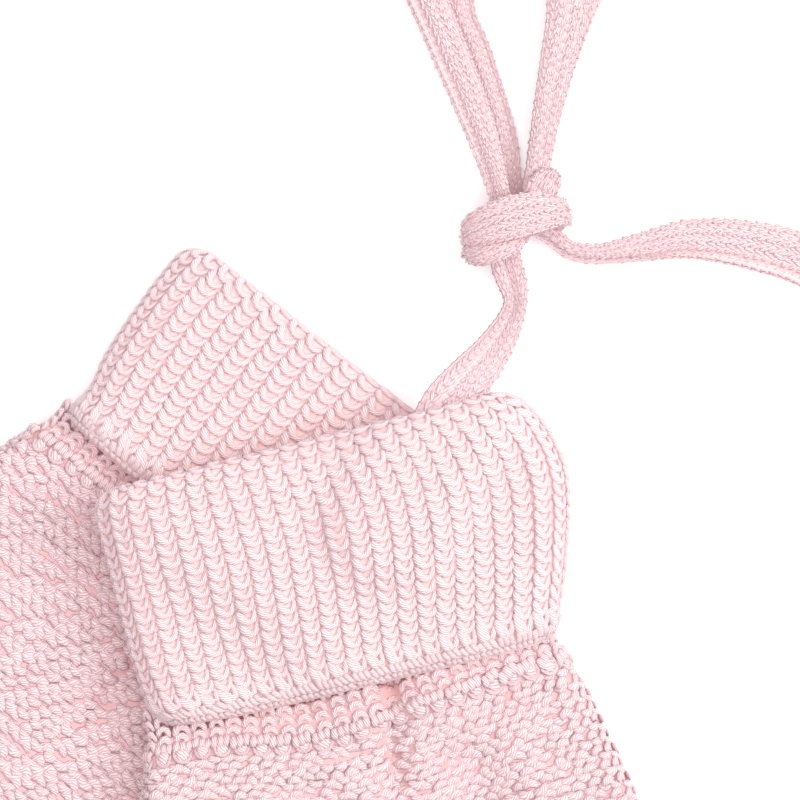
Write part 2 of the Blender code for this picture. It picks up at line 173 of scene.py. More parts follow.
# Routes of the cord's middle, seen in the photograph as far as it reaches
STEM_ROUTE = (
    (16.9, 22.9, 2.6), (18.0, 19.0, 3.2), (18.5, 15.4, 4.6), (17.0, 11.4, 7.6), (14.4, 7.2, 11.0),
    (10.9, 3.0, 14.8), (7.4, -1.4, 17.2), (4.4, -7.4, 17.3), (1.8, -13.6, 17.3), (-0.8, -19.8, 17.3),
)
TAIL_ROUTE = (
    (24.0, 26.6, 2.3), (27.6, 23.9, 1.8), (32.6, 23.5, 1.6), (38.0, 24.4, 1.5), (46.6, 25.8, 1.5),
    (56.0, 24.9, 1.5), (66.0, 21.8, 1.5), (75.4, 14.4, 1.5), (82.0, 3.0, 1.5), (85.0, -11.0, 1.5),
    (85.0, -26.0, 1.5), (82.0, -41.0, 1.5), (76.0, -55.0, 1.5), (67.0, -67.0, 1.5), (55.6, -74.6, 1.5),
    (43.6, -75.0, 1.5), (33.0, -66.4, 1.5), (25.6, -55.0, 1.5), (18.6, -43.2, 1.5), (12.5, -32.7, 1.5),
)
LOOP_A_ROUTE = (
    (15.4, 34.3, 4.6), (13.3, 41.4, 4.7), (10.9, 48.0, 4.7), (7.6, 56.0, 4.7), (4.2, 64.0, 4.6),
    (-0.6, 74.0, 3.4), (-6.6, 84.0, 1.8), (-11.4, 95.0, 1.5), (-12.0, 107.0, 1.5), (-6.0, 117.0, 1.5),
    (4.6, 119.6, 1.5), (14.0, 113.6, 1.5), (17.4, 102.4, 1.5), (15.8, 90.0, 1.5), (12.6, 77.0, 1.5),
    (9.9, 64.0, 1.5), (12.6, 56.0, 1.5), (15.2, 48.0, 1.5), (16.9, 41.6, 1.5), (17.7, 34.8, 1.5),
)
LOOP_B_ROUTE = (
    (21.9, 37.0, 1.4), (22.9, 43.0, 1.5), (24.3, 50.0, 1.5), (26.0, 57.0, 1.5), (28.6, 64.4, 1.5),
    (34.6, 74.0, 1.5), (43.0, 83.0, 1.5), (49.4, 93.6, 1.5), (50.0, 105.0, 1.5), (43.0, 113.4, 1.5),
    (32.6, 113.4, 1.5), (26.0, 104.4, 1.5), (24.8, 92.4, 2.0), (25.6, 81.4, 3.4), (26.8, 70.0, 4.7),
    (26.8, 62.0, 4.8), (25.2, 54.0, 4.8), (23.6, 46.4, 4.8), (22.4, 38.6, 4.8),
)

# How far past the flap's edge the chain row of the front hand lies, by its place across
CHAIN_BOW = (
    (-40.0, 2.2), (-33.0, 2.6), (-26.0, 3.2), (-13.0, 5.9), (-6.0, 6.0), (1.0, 5.1), (13.0, 3.9), (26.0, 2.9),
    (34.0, 2.6),
)
CHAIN_STRAIGHT = ((-40.0, 3.4), (40.0, 3.4))

# How wide the cord lies at a distance from the knot, which pinches it
STEM_WIDTHS = ((0.0, 5.8), (4.0, 5.5), (8.2, 4.3), (15.8, 6.0), (25.6, 8.2), (31.0, 9.0), (44.0, 9.0))
TAIL_WIDTHS = (
    (0.0, 3.9), (2.0, 3.6), (8.9, 3.9), (15.4, 5.4), (23.5, 7.2), (34.8, 8.9), (42.0, 9.2), (60.0, 8.6),
)
WIDE_STRAND = ((0.0, 4.2), (8.0, 5.6), (16.0, 6.4), (30.0, 6.9), (45.0, 7.4))
NARROW_STRAND = ((0.0, 4.4), (30.0, 4.9), (44.0, 5.6), (58.0, 7.4))
UPPER_STRAND = ((0.0, 4.4), (8.0, 5.0), (17.0, 6.3), (26.0, 7.5))


def fall(distance: np.ndarray, flat: float, run: float) -> np.ndarray:
    """1 up to a distance, then down to 0 over a run, with soft shoulders.

    Args:
        distance: Where the value is wanted.
        flat: It is 1 up to here.
        run: It is 0 this much further on.

    Returns:
        The value at each distance.
    """
    return 0.5 + 0.5 * np.cos(math.pi * np.clip((distance - flat) / run, 0.0, 1.0))


def read(rows: tuple, column: int, along: np.ndarray) -> np.ndarray:
    """A column of a table at any distances along, on a smooth curve through its rows.

    Args:
        rows: The table, its first column the distance along.
        column: Which column is read.
        along: Distances along.

    Returns:
        The column's value at each distance.
    """
    table = np.array(rows)
    places, values = table[:, 0], table[:, column]
    along = np.clip(along, places[0], places[-1])
    at = np.clip(np.searchsorted(places, along, side="right") - 1, 0, len(places) - 2)
    count = np.arange(len(places))
    low, high = np.maximum(count - 1, 0), np.minimum(count + 1, len(places) - 1)
    slopes = (values[high] - values[low]) / (places[high] - places[low])
    step = places[at + 1] - places[at]
    t = (along - places[at]) / step
    return (
        values[at] * (1 + 2 * t) * (1 - t) ** 2
        + slopes[at] * step * t * (1 - t) ** 2
        + values[at + 1] * t * t * (3 - 2 * t)
        + slopes[at + 1] * step * t * t * (t - 1)
    )


def distance_to_line(flat: np.ndarray, line: tuple) -> np.ndarray:
    """Shortest distance on the table from each point to a run of points.

    Args:
        flat: The points on the table.
        line: The run of points, with or without their height.

    Returns:
        The distance of each point.
    """
    route = np.array(line)[:, :2]
    best = np.full(flat.shape[:-1], 1e9)
    for start, end in zip(route[:-1], route[1:]):
        run = end - start
        t = np.clip(((flat - start) @ run) / (run @ run), 0.0, 1.0)
        best = np.minimum(best, np.linalg.norm(flat - start - t[..., None] * run, axis=-1))
    return best


def section(left: np.ndarray, right: np.ndarray, half: np.ndarray, depth: np.ndarray,
            turn: np.ndarray) -> tuple[np.ndarray, np.ndarray, np.ndarray]:
    """Points of a flattened tube, a depth in from its outside.

    Args:
        left: The tube's left side, across.
        right: The tube's right side, across.
        half: Half the tube's height.
        depth: How far in from the outside.
        turn: Place round the tube from 0 to 1, over the top from left to right and back underneath.

    Returns:
        Across, height from the tube's middle, and lean, 1 facing up and -1 facing down.
    """
    run = (right - left) / 2 - half
    centre = (left + right) / 2
    radius = half - depth
    step = turn * (4 * run + 2 * math.pi * half)
    side = step - 2 * run
    under = side - math.pi * half
    back = under - 2 * run
    near = np.clip(side / half, 0.0, math.pi)
    far = np.clip(back / half, 0.0, math.pi)
    spots = [step < 2 * run, side < math.pi * half, under < 2 * run]
    across = np.select(
        spots, [step - run, run + radius * np.sin(near), run - under], -run - radius * np.sin(far)
    )
    lean = np.select(spots, [np.ones_like(step), np.cos(near), -np.ones_like(step)], -np.cos(far))
    return centre + across, radius * lean, lean


def unit(vectors: np.ndarray) -> np.ndarray:
    """Vectors made one long."""
    return vectors / np.maximum(np.linalg.norm(vectors, axis=-1, keepdims=True), 1e-9)


@dataclass(frozen=True)
class Mitten:
    """Where a mitten lies, and its outline."""

    name: str
    origin: tuple[float, float]
    heading: tuple[float, float]
    cuff_length: float
    cuff: tuple
    hand_across: float
    lifted: bool

    def axes(self) -> tuple[np.ndarray, np.ndarray]:
        """Its directions along and across on the table."""
        heading = np.array(self.heading) / math.hypot(*self.heading)
        return heading, np.array((-heading[1], heading[0]))

    def to_layout(self, along: np.ndarray, across: np.ndarray) -> np.ndarray:
        """Places on the table from distances in the mitten's own directions.

        Args:
            along: Distance from the folded edge.
            across: Distance from the axis.

        Returns:
            The places.
        """
        heading, side = self.axes()
        return np.array(self.origin) + along[..., None] * heading + across[..., None] * side

    def from_layout(self, flat: np.ndarray) -> tuple[np.ndarray, np.ndarray]:
        """Distances in the mitten's own directions from places on the table.

        Args:
            flat: The places.

        Returns:
            Distance along and across.
        """
        heading, side = self.axes()
        offset = flat - np.array(self.origin)
        return offset @ heading, offset @ side

    def outside(self, flat: np.ndarray) -> np.ndarray:
        """How far points of the table lie outside its outline, less than 0 within it.

        Args:
            flat: The points on the table.

        Returns:
            The distance of each point.
        """
        along, across = self.from_layout(flat)
        past = along - self.cuff_length
        cuffed = fall(past, OUTLINE_FROM, OUTLINE_RUN)
        left, right = (
            cuffed * read(self.cuff, side, along) + (1 - cuffed) * (read(HAND, side, past) + self.hand_across)
            for side in (1, 2)
        )
        return np.maximum(np.maximum(left - across, across - right), -along)

    def place(self, along: np.ndarray, across: np.ndarray, up: np.ndarray, lean: np.ndarray) -> np.ndarray:
        """Points in metres, lifted where this mitten lies over the other one.

        Args:
            along: Distance from the folded edge.
            across: Distance from the axis.
            up: Height over the table if nothing lay under it.
            lean: 1 where the cloth faces up and -1 where it faces down.

        Returns:
            The points, one row of three for each.
        """
        flat = self.to_layout(along, across)
        lift = np.zeros_like(up)
        if self.lifted:
            lift = drape(flat)
            from_stem = distance_to_line(flat, STEM_ROUTE[RUCK_FROM:])
            over_stem = RUCK_HEIGHT * fall(from_stem, RUCK_FLAT, RUCK_SLOPE)
            lift = lift + np.where(along < self.cuff_length, over_stem, 0.0) * np.clip(2 * lean, 0.0, 1.0)
        return (np.concatenate((flat, (up + lift)[..., None]), axis=-1) - MIDDLE) * MM


FRONT = Mitten("front", (-13.3, -6.2), (0.242, -0.970), 40.0, FRONT_CUFF, 0.0, True)
REAR = Mitten("rear", (-5.15, 3.75), (-0.616, -0.788), 36.0, REAR_CUFF, 1.7, False)


def drape(flat: np.ndarray) -> np.ndarray:
    """How high the front mitten is lifted over the rear mitten and the cord.

    Args:
        flat: Places on the table.

    Returns:
        The lift at each place.
    """
    along, _ = REAR.from_layout(flat)
    on_cuff = fall(along, REAR.cuff_length + STEP_PAST, STEP_RUN)
    hand_top = CUFF_HALF + WRIST_HALF
    top = hand_top + (2 * CUFF_HALF + 0.5 - hand_top) * on_cuff + DRAPE_GAP
    over_rear = top * fall(REAR.outside(flat), DRAPE_MARGIN, DRAPE_RUN)
    from_tail = distance_to_line(flat, TAIL_ROUTE[TUNNEL_FROM:])
    over_cord = TUNNEL_HEIGHT * fall(from_tail, TUNNEL_FLAT, TUNNEL_SLOPE)
    return np.hypot(over_rear, over_cord)


# Finishes


def linear(code: str) -> tuple[float, float, float, float]:
    """An sRGB hex colour as linear light.

    Args:
        code: The colour, as # and six digits.

    Returns:
        Red, green, blue and 1.
    """
    parts = [int(code[k : k + 2], 16) / 255 for k in (1, 3, 5)]
    red, green, blue = (c / 12.92 if c <= 0.04045 else ((c + 0.055) / 1.055) ** 2.4 for c in parts)
    return red, green, blue, 1.0


def add(tree: bpy.types.NodeTree, kind: str, inputs: dict | None = None,
        **settings: object) -> bpy.types.Node:
    """Adds a node with its settings, and sets or links its inputs.

    Args:
        tree: The tree to add it to.
        kind: The node's type name.
        inputs: Values or output sockets by input name or number.
        settings: The node's own properties.

    Returns:
        The node.
    """
    node = tree.nodes.new(kind)
    for name, value in settings.items():
        setattr(node, name, value)
    for name, value in (inputs or {}).items():
        if isinstance(value, bpy.types.NodeSocket):
            tree.links.new(value, node.inputs[name])
        else:
            node.inputs[name].default_value = value
    return node


def add_painted_glow(shader: bpy.types.Node) -> None:
    """Adds a painted glow: faint rose emission that stands for the light passing through fluffy yarn, so the
    gaps between stitches stay rose.
    """
    shader.inputs["Emission Color"].default_value = linear(PAINTED_GLOW_COLOUR)
    shader.inputs["Emission Strength"].default_value = PAINTED_GLOW


@dataclass(frozen=True)
class YarnFinish:
    """Mercerised cotton yarn: a painted highlight runs along the crest of each ply, and painted shade darkens
    the gaps between plies.
    """

    name: str
    # Colours of the painted highlight on the ply crests, of the yarn itself, and of the painted shade between
    # plies
    light: str
    body: str
    ply_gap_shade: str
    plies: float
    twist: float = -0.22         # turns of a ply in a millimetre, less than 0 for an S twist
    ply_height: float = 0.07     # millimetres
    wander: float = 0.9          # millimetres between two places where a ply strays
    roughness: float = 0.40
    sheen: float = 0.85

    def build(self) -> bpy.types.Material:
        """Builds the finish, its plies drawn along the yarn's own UV map.

        Returns:
            The material.
        """
        material = bpy.data.materials.new(self.name)
        material.use_nodes = True
        tree = material.node_tree
        shader = tree.nodes["Principled BSDF"]
        yarn_map = add(tree, "ShaderNodeUVMap", uv_map="UVMap")
        spot = add(tree, "ShaderNodeSeparateXYZ", {0: yarn_map.outputs[0]})
        place = add(tree, "ShaderNodeTexCoord").outputs["Object"]
        drift = add(
            tree, "ShaderNodeTexNoise", {"Vector": place, "Scale": 1 / (self.wander * MM), "Detail": 1.0}
        )
        along = add(
            tree, "ShaderNodeMath",
            {0: spot.outputs[1], 1: self.twist * self.plies, 2: drift.outputs[0]}, operation="MULTIPLY_ADD",
        )
        phase = add(
            tree, "ShaderNodeMath",
            {0: spot.outputs[0], 1: self.plies, 2: along.outputs[0]}, operation="MULTIPLY_ADD",
        )
        angle = add(tree, "ShaderNodeMath", {0: phase.outputs[0], 1: 2 * math.pi}, operation="MULTIPLY")
        wave = add(tree, "ShaderNodeMath", {0: angle.outputs[0]}, operation="SINE")
        # Painted shade: the colour darkens towards the gaps between plies
        level = add(
            tree, "ShaderNodeMapRange", {"Value": wave.outputs[0], "From Min": -1.0, "From Max": -0.2},
            interpolation_type="SMOOTHSTEP",
        )
        # Painted highlight: the ply crests are lightened, more on some patches and stitches than on others
        crest = add(
            tree, "ShaderNodeMapRange", {"Value": wave.outputs[0], "From Min": 0.3, "From Max": 1.0},
            interpolation_type="SMOOTHSTEP",
        )
        body_with_ply_shade = add(
            tree, "ShaderNodeMix",
            {0: level.outputs[0], 6: linear(self.ply_gap_shade), 7: linear(self.body)}, data_type="RGBA",
        )
        shade = add(tree, "ShaderNodeAttribute", attribute_name="shade")
        patch = add(
            tree, "ShaderNodeMapRange",
            {"Value": drift.outputs[0], "From Min": 0.35, "From Max": 0.6, "To Min": 0.2},
        )
        highlight_strength = add(
            tree, "ShaderNodeMath", {0: patch.outputs[0], 1: shade.outputs["Fac"]}, operation="MULTIPLY"
        )
        painted_highlight = add(tree, "ShaderNodeMath", {0: crest.outputs[0], 1: highlight_strength.outputs[0]}, operation="MULTIPLY")
        lit = add(
            tree, "ShaderNodeMix",
            {0: painted_highlight.outputs[0], 6: body_with_ply_shade.outputs[2], 7: linear(self.light)}, data_type="RGBA",
        )
        tree.links.new(lit.outputs[2], shader.inputs["Base Color"])
        bump = add(tree, "ShaderNodeBump", {"Height": wave.outputs[0], "Distance": self.ply_height * MM / 2})
        tree.links.new(bump.outputs[0], shader.inputs["Normal"])
        shader.inputs["Roughness"].default_value = self.roughness
        shader.inputs["Sheen Weight"].default_value = self.sheen
        shader.inputs["Sheen Roughness"].default_value = 0.5
        shader.inputs["Sheen Tint"].default_value = linear("#F0E4F0")
        add_painted_glow(shader)
        return material


@dataclass(frozen=True)
class ClothFinish:
    """The knitted cloth under the stitches' crests, coloured deeper than the yarn as painted shade where it
    shows in the pits between stitches.
    """

    name: str
    # The two colours of the painted shade in the pits, mixed by a speckle
    deep: str
    mid: str
    grain: float = 1.2           # millimetres between two light specks

    def build(self) -> bpy.types.Material:
        """Builds the finish, speckled on Object coordinates.

        Returns:
            The material.
        """
        material = bpy.data.materials.new(self.name)
        material.use_nodes = True
        tree = material.node_tree
        shader = tree.nodes["Principled BSDF"]
        place = add(tree, "ShaderNodeTexCoord").outputs["Object"]
        speck = add(
            tree, "ShaderNodeTexNoise", {"Vector": place, "Scale": 1 / (self.grain * MM), "Detail": 3.0}
        )
        tint = add(
            tree, "ShaderNodeMix",
            {0: speck.outputs[0], 6: linear(self.deep), 7: linear(self.mid)}, data_type="RGBA",
        )
        tree.links.new(tint.outputs[2], shader.inputs["Base Color"])
        bump = add(tree, "ShaderNodeBump", {"Height": speck.outputs[0], "Distance": 0.3 * MM})
        tree.links.new(bump.outputs[0], shader.inputs["Normal"])
        shader.inputs["Roughness"].default_value = 0.8
        add_painted_glow(shader)
        return material


RIB_YARN = YarnFinish("glossy_cotton_rib_yarn", "#FFFFFE", "#F8E2E1", "#D8AEB4", plies=8.0)
HAND_YARN = YarnFinish("glossy_cotton_purl_yarn", "#FEF8F7", "#F1D7D7", "#CEA4AA", plies=8.0)
CORD_YARN = YarnFinish("glossy_cotton_cord_yarn", "#FFFEFD", "#F3DADC", "#D2A8B0", plies=4.0)
# Cloth colours are painted shade for the pits, the hand's deeper than the ribs'
RIB_CLOTH = ClothFinish("dyed_cotton_rib_ground", "#F1CBC9", "#F8DCDA")
HAND_CLOTH = ClothFinish("dyed_cotton_purl_ground", "#DFAFAF", "#EBC3C2")


# Stitches


@dataclass(frozen=True)
class Strand:
    """One bow of the yarn that shows in a stitch: points along it and the yarn's half width at each."""

    points: tuple
    half_widths: tuple
    steps: int = 8
    sides: int = 6
    flatness: float = 0.85


class Stitch(Enum):
    """Each kind of stitch, with the width and height it is knitted to and the strands that show.

    X runs across, Y towards the cuff's free edge or the fingertips, and Z out of the cloth.
    """

    RIB = (
        (3.2, 1.9),
        (
            Strand(
                ((1.24, -1.35, -0.06), (1.20, -0.75, 0.20), (0.98, -0.08, 0.34), (0.46, 0.46, 0.38),
                 (-0.24, 0.62, 0.34), (-0.80, 0.26, 0.26), (-1.10, -0.42, 0.16), (-1.26, -1.10, -0.04)),
                (0.52, 0.68, 0.76, 0.70, 0.58, 0.52, 0.46, 0.38),
                steps=9, sides=6, flatness=0.58,
            ),
        ),
    )
    PURL = (
        (2.3, 2.4),
        (
            Strand(
                ((1.18, -0.52, -0.12), (0.62, -0.04, 0.16), (0.0, 0.18, 0.24), (-0.62, -0.04, 0.16),
                 (-1.18, -0.52, -0.12)),
                (0.46, 0.72, 0.84, 0.72, 0.46), steps=4, sides=5, flatness=0.46,
            ),
            Strand(
                ((2.33, 1.72, -0.12), (1.77, 1.24, 0.14), (1.15, 1.02, 0.22), (0.53, 1.24, 0.14),
                 (-0.03, 1.72, -0.12)),
                (0.46, 0.70, 0.82, 0.70, 0.46), steps=4, sides=5, flatness=0.46,
            ),
        ),
    )
    PURL_UNDER = (
        (2.3, 2.4),
        (
            Strand(
                ((1.16, -0.45, -0.15), (0.0, 0.20, 0.26), (-1.16, -0.45, -0.15)),
                (0.40, 0.74, 0.40), steps=2, sides=4, flatness=0.6,
            ),
            Strand(
                ((2.31, 1.65, -0.15), (1.15, 1.00, 0.24), (-0.01, 1.65, -0.15)),
                (0.38, 0.70, 0.38), steps=2, sides=4, flatness=0.6,
            ),
        ),
    )
    PLAIN = (
        (1.4, 1.58),
        (
            Strand(
                ((0.68, -0.95, -0.13), (0.42, -0.15, 0.11), (0.07, 0.80, -0.11)),
                (0.30, 0.42, 0.30), steps=3, sides=4, flatness=0.7,
            ),
            Strand(
                ((-0.68, -0.95, -0.13), (-0.42, -0.15, 0.11), (-0.07, 0.80, -0.11)),
                (0.30, 0.42, 0.30), steps=3, sides=4, flatness=0.7,
            ),
        ),
    )
    SCALLOP = (
        (3.1, 2.2),
        (
            Strand(
                ((1.26, -0.80, 0.00), (1.18, 0.00, 0.20), (0.78, 0.66, 0.28), (0.0, 0.92, 0.30),
                 (-0.78, 0.66, 0.28), (-1.18, 0.00, 0.20), (-1.26, -0.80, 0.00)),
                (0.24, 0.28, 0.32, 0.32, 0.32, 0.28, 0.24), steps=8, sides=5,
            ),
            Strand(
                ((0.10, -1.10, 0.06), (0.0, -0.3, 0.20), (-0.05, 0.72, 0.10)),
                (1.00, 1.12, 0.72), steps=4, sides=7, flatness=0.3,
            ),
        ),
    )
    BAR = (
        (3.1, 1.4),
        (
            Strand(
                ((1.36, 0.80, 0.10), (1.12, 0.0, 0.44), (0.88, -0.78, 0.10)),
                (0.52, 0.66, 0.52), steps=4, sides=6, flatness=0.6,
            ),
            Strand(
                ((0.32, 0.80, 0.10), (0.08, 0.0, 0.48), (-0.16, -0.78, 0.10)),
                (0.52, 0.68, 0.52), steps=4, sides=6, flatness=0.6,
            ),
            Strand(
                ((-0.70, 0.80, 0.10), (-0.94, 0.0, 0.45), (-1.18, -0.78, 0.10)),
                (0.52, 0.66, 0.52), steps=4, sides=6, flatness=0.6,
            ),
        ),
    )
    EYELET = (
        (2.8, 1.7),
        (
            Strand(
                ((0.98, 0.95, -0.12), (0.86, 0.15, 0.14), (0.46, -0.36, 0.24), (-0.28, -0.42, 0.24),
                 (-0.78, 0.05, 0.14), (-1.00, 0.95, -0.12)),
                (0.48, 0.62, 0.68, 0.68, 0.58, 0.46), steps=6, sides=5, flatness=0.6,
            ),
        ),
    )
    LEAF = (
        (3.2, 3.0),
        (
            Strand(
                ((1.28, -1.70, -0.10), (1.10, -0.70, 0.26), (0.70, 0.45, 0.40), (0.05, 1.60, 0.10)),
                (0.50, 0.70, 0.72, 0.50), steps=6, sides=7, flatness=0.7,
            ),
            Strand(
                ((0.50, -1.20, 0.00), (0.20, -0.30, 0.26), (-0.25, 0.70, 0.36), (-0.80, 1.60, 0.10)),
                (0.40, 0.58, 0.60, 0.44), steps=5, sides=6, flatness=0.7,
            ),
            Strand(
                ((-0.60, 1.50, 0.05), (-1.02, 0.60, 0.30), (-1.26, -0.40, 0.24), (-1.30, -1.50, -0.10)),
                (0.42, 0.54, 0.50, 0.38), steps=5, sides=6, flatness=0.7,
            ),
        ),
    )
    EDGE = (
        (3.2, 2.0),
        (
            Strand(
                ((1.30, -1.50, -0.05), (1.03, -0.10, 0.12), (0.76, 1.30, -0.05)),
                (0.50, 0.62, 0.50), steps=4, sides=6, flatness=0.5,
            ),
            Strand(
                ((0.26, -1.50, -0.05), (0.0, -0.10, 0.14), (-0.26, 1.30, -0.05)),
                (0.50, 0.62, 0.50), steps=4, sides=6, flatness=0.5,
            ),
            Strand(
                ((-0.78, -1.50, -0.05), (-1.04, -0.10, 0.13), (-1.30, 1.30, -0.05)),
                (0.50, 0.62, 0.50), steps=4, sides=6, flatness=0.5,
            ),
        ),
    )

    @property
    def pitch(self) -> tuple[float, float]:
        """Width and height of one stitch in millimetres."""
        return self.value[0]

    def build(self) -> bpy.types.Object:
        """Builds the stitch's yarn, with the way round and along the yarn as its UV map.

        Returns:
            The stitch, one small mesh.
        """
        build = bmesh.new()
        layer = build.loops.layers.uv.new("UVMap")
        for strand in self.value[1]:
            self.draw(build, layer, strand)
        mesh = bpy.data.meshes.new("stitch_" + self.name.lower())
        bmesh.ops.recalc_face_normals(build, faces=build.faces)
        build.to_mesh(mesh)
        build.free()
        mesh.shade_smooth()
        stitch = bpy.data.objects.new(mesh.name, mesh)
        bpy.context.scene.collection.objects.link(stitch)
        return stitch

    @staticmethod
    def draw(build: bmesh.types.BMesh, layer: bmesh.types.BMLayerItem, strand: Strand) -> None:
        """Sweeps one strand, with its ends brought to a point.

        Args:
            build: The mesh being built.
            layer: Its UV layer.
            strand: The strand's path and widths.
        """
        path = smooth(np.array(strand.points), strand.steps + 1)
        widths = np.interp(
            np.linspace(0, 1, len(path)), np.linspace(0, 1, len(strand.half_widths)), strand.half_widths
        )
        tangents = unit(np.gradient(path, axis=0))
        sides = unit(np.cross(tangents, UP))
        rises = np.cross(sides, tangents)
        lengths = np.concatenate(((0.0,), np.cumsum(np.linalg.norm(np.diff(path, axis=0), axis=1))))
        rings = []
        for spot, width, side, rise in zip(path, widths, sides, rises):
            ring = []
            for k in range(strand.sides):
                angle = 2 * math.pi * k / strand.sides - math.pi / 2
                rim = spot + width * (math.cos(angle) * side + strand.flatness * math.sin(angle) * rise)
                ring.append(build.verts.new(rim * MM))
            rings.append(ring)
        for n in range(len(rings) - 1):
            for k in range(strand.sides):
                j = (k + 1) % strand.sides
                face = build.faces.new((rings[n][k], rings[n][j], rings[n + 1][j], rings[n + 1][k]))
                for loop, (u, v) in zip(face.loops, ((k, n), (k + 1, n), (k + 1, n + 1), (k, n + 1))):
                    loop[layer].uv = (u / strand.sides, lengths[v])
        for ring, at in ((rings[0], lengths[0]), (rings[-1], lengths[-1])):
            face = build.faces.new(ring)
            for k, loop in enumerate(face.loops):
                loop[layer].uv = (k / strand.sides, at)


def smooth(points: np.ndarray, count: int) -> np.ndarray:
    """Points evenly spaced on a smooth curve through the points given.

    Args:
        points: The points that the curve goes through.
        count: How many points are wanted.

    Returns:
        The evenly spaced points.
    """
    before = points[np.maximum(np.arange(len(points) - 1) - 1, 0)]
    start, end = points[:-1], points[1:]
    after = points[np.minimum(np.arange(len(points) - 1) + 2, len(points) - 1)]
    t = np.linspace(0, 1, 12, endpoint=False)[None, :, None]
    start, end, before, after = (part[:, None, :] for part in (start, end, before, after))
    fine = 0.5 * (
        2 * start + (end - before) * t + (2 * before - 5 * start + 4 * end - after) * t**2
        + (3 * start - before - 3 * end + after) * t**3
    )
    fine = np.concatenate((fine.reshape(-1, points.shape[1]), points[-1:]))
    lengths = np.concatenate(((0.0,), np.cumsum(np.linalg.norm(np.diff(fine, axis=0), axis=1))))
    wanted = np.linspace(0, lengths[-1], count)
    return np.stack([np.interp(wanted, lengths, fine[:, k]) for k in range(points.shape[1])], axis=1)


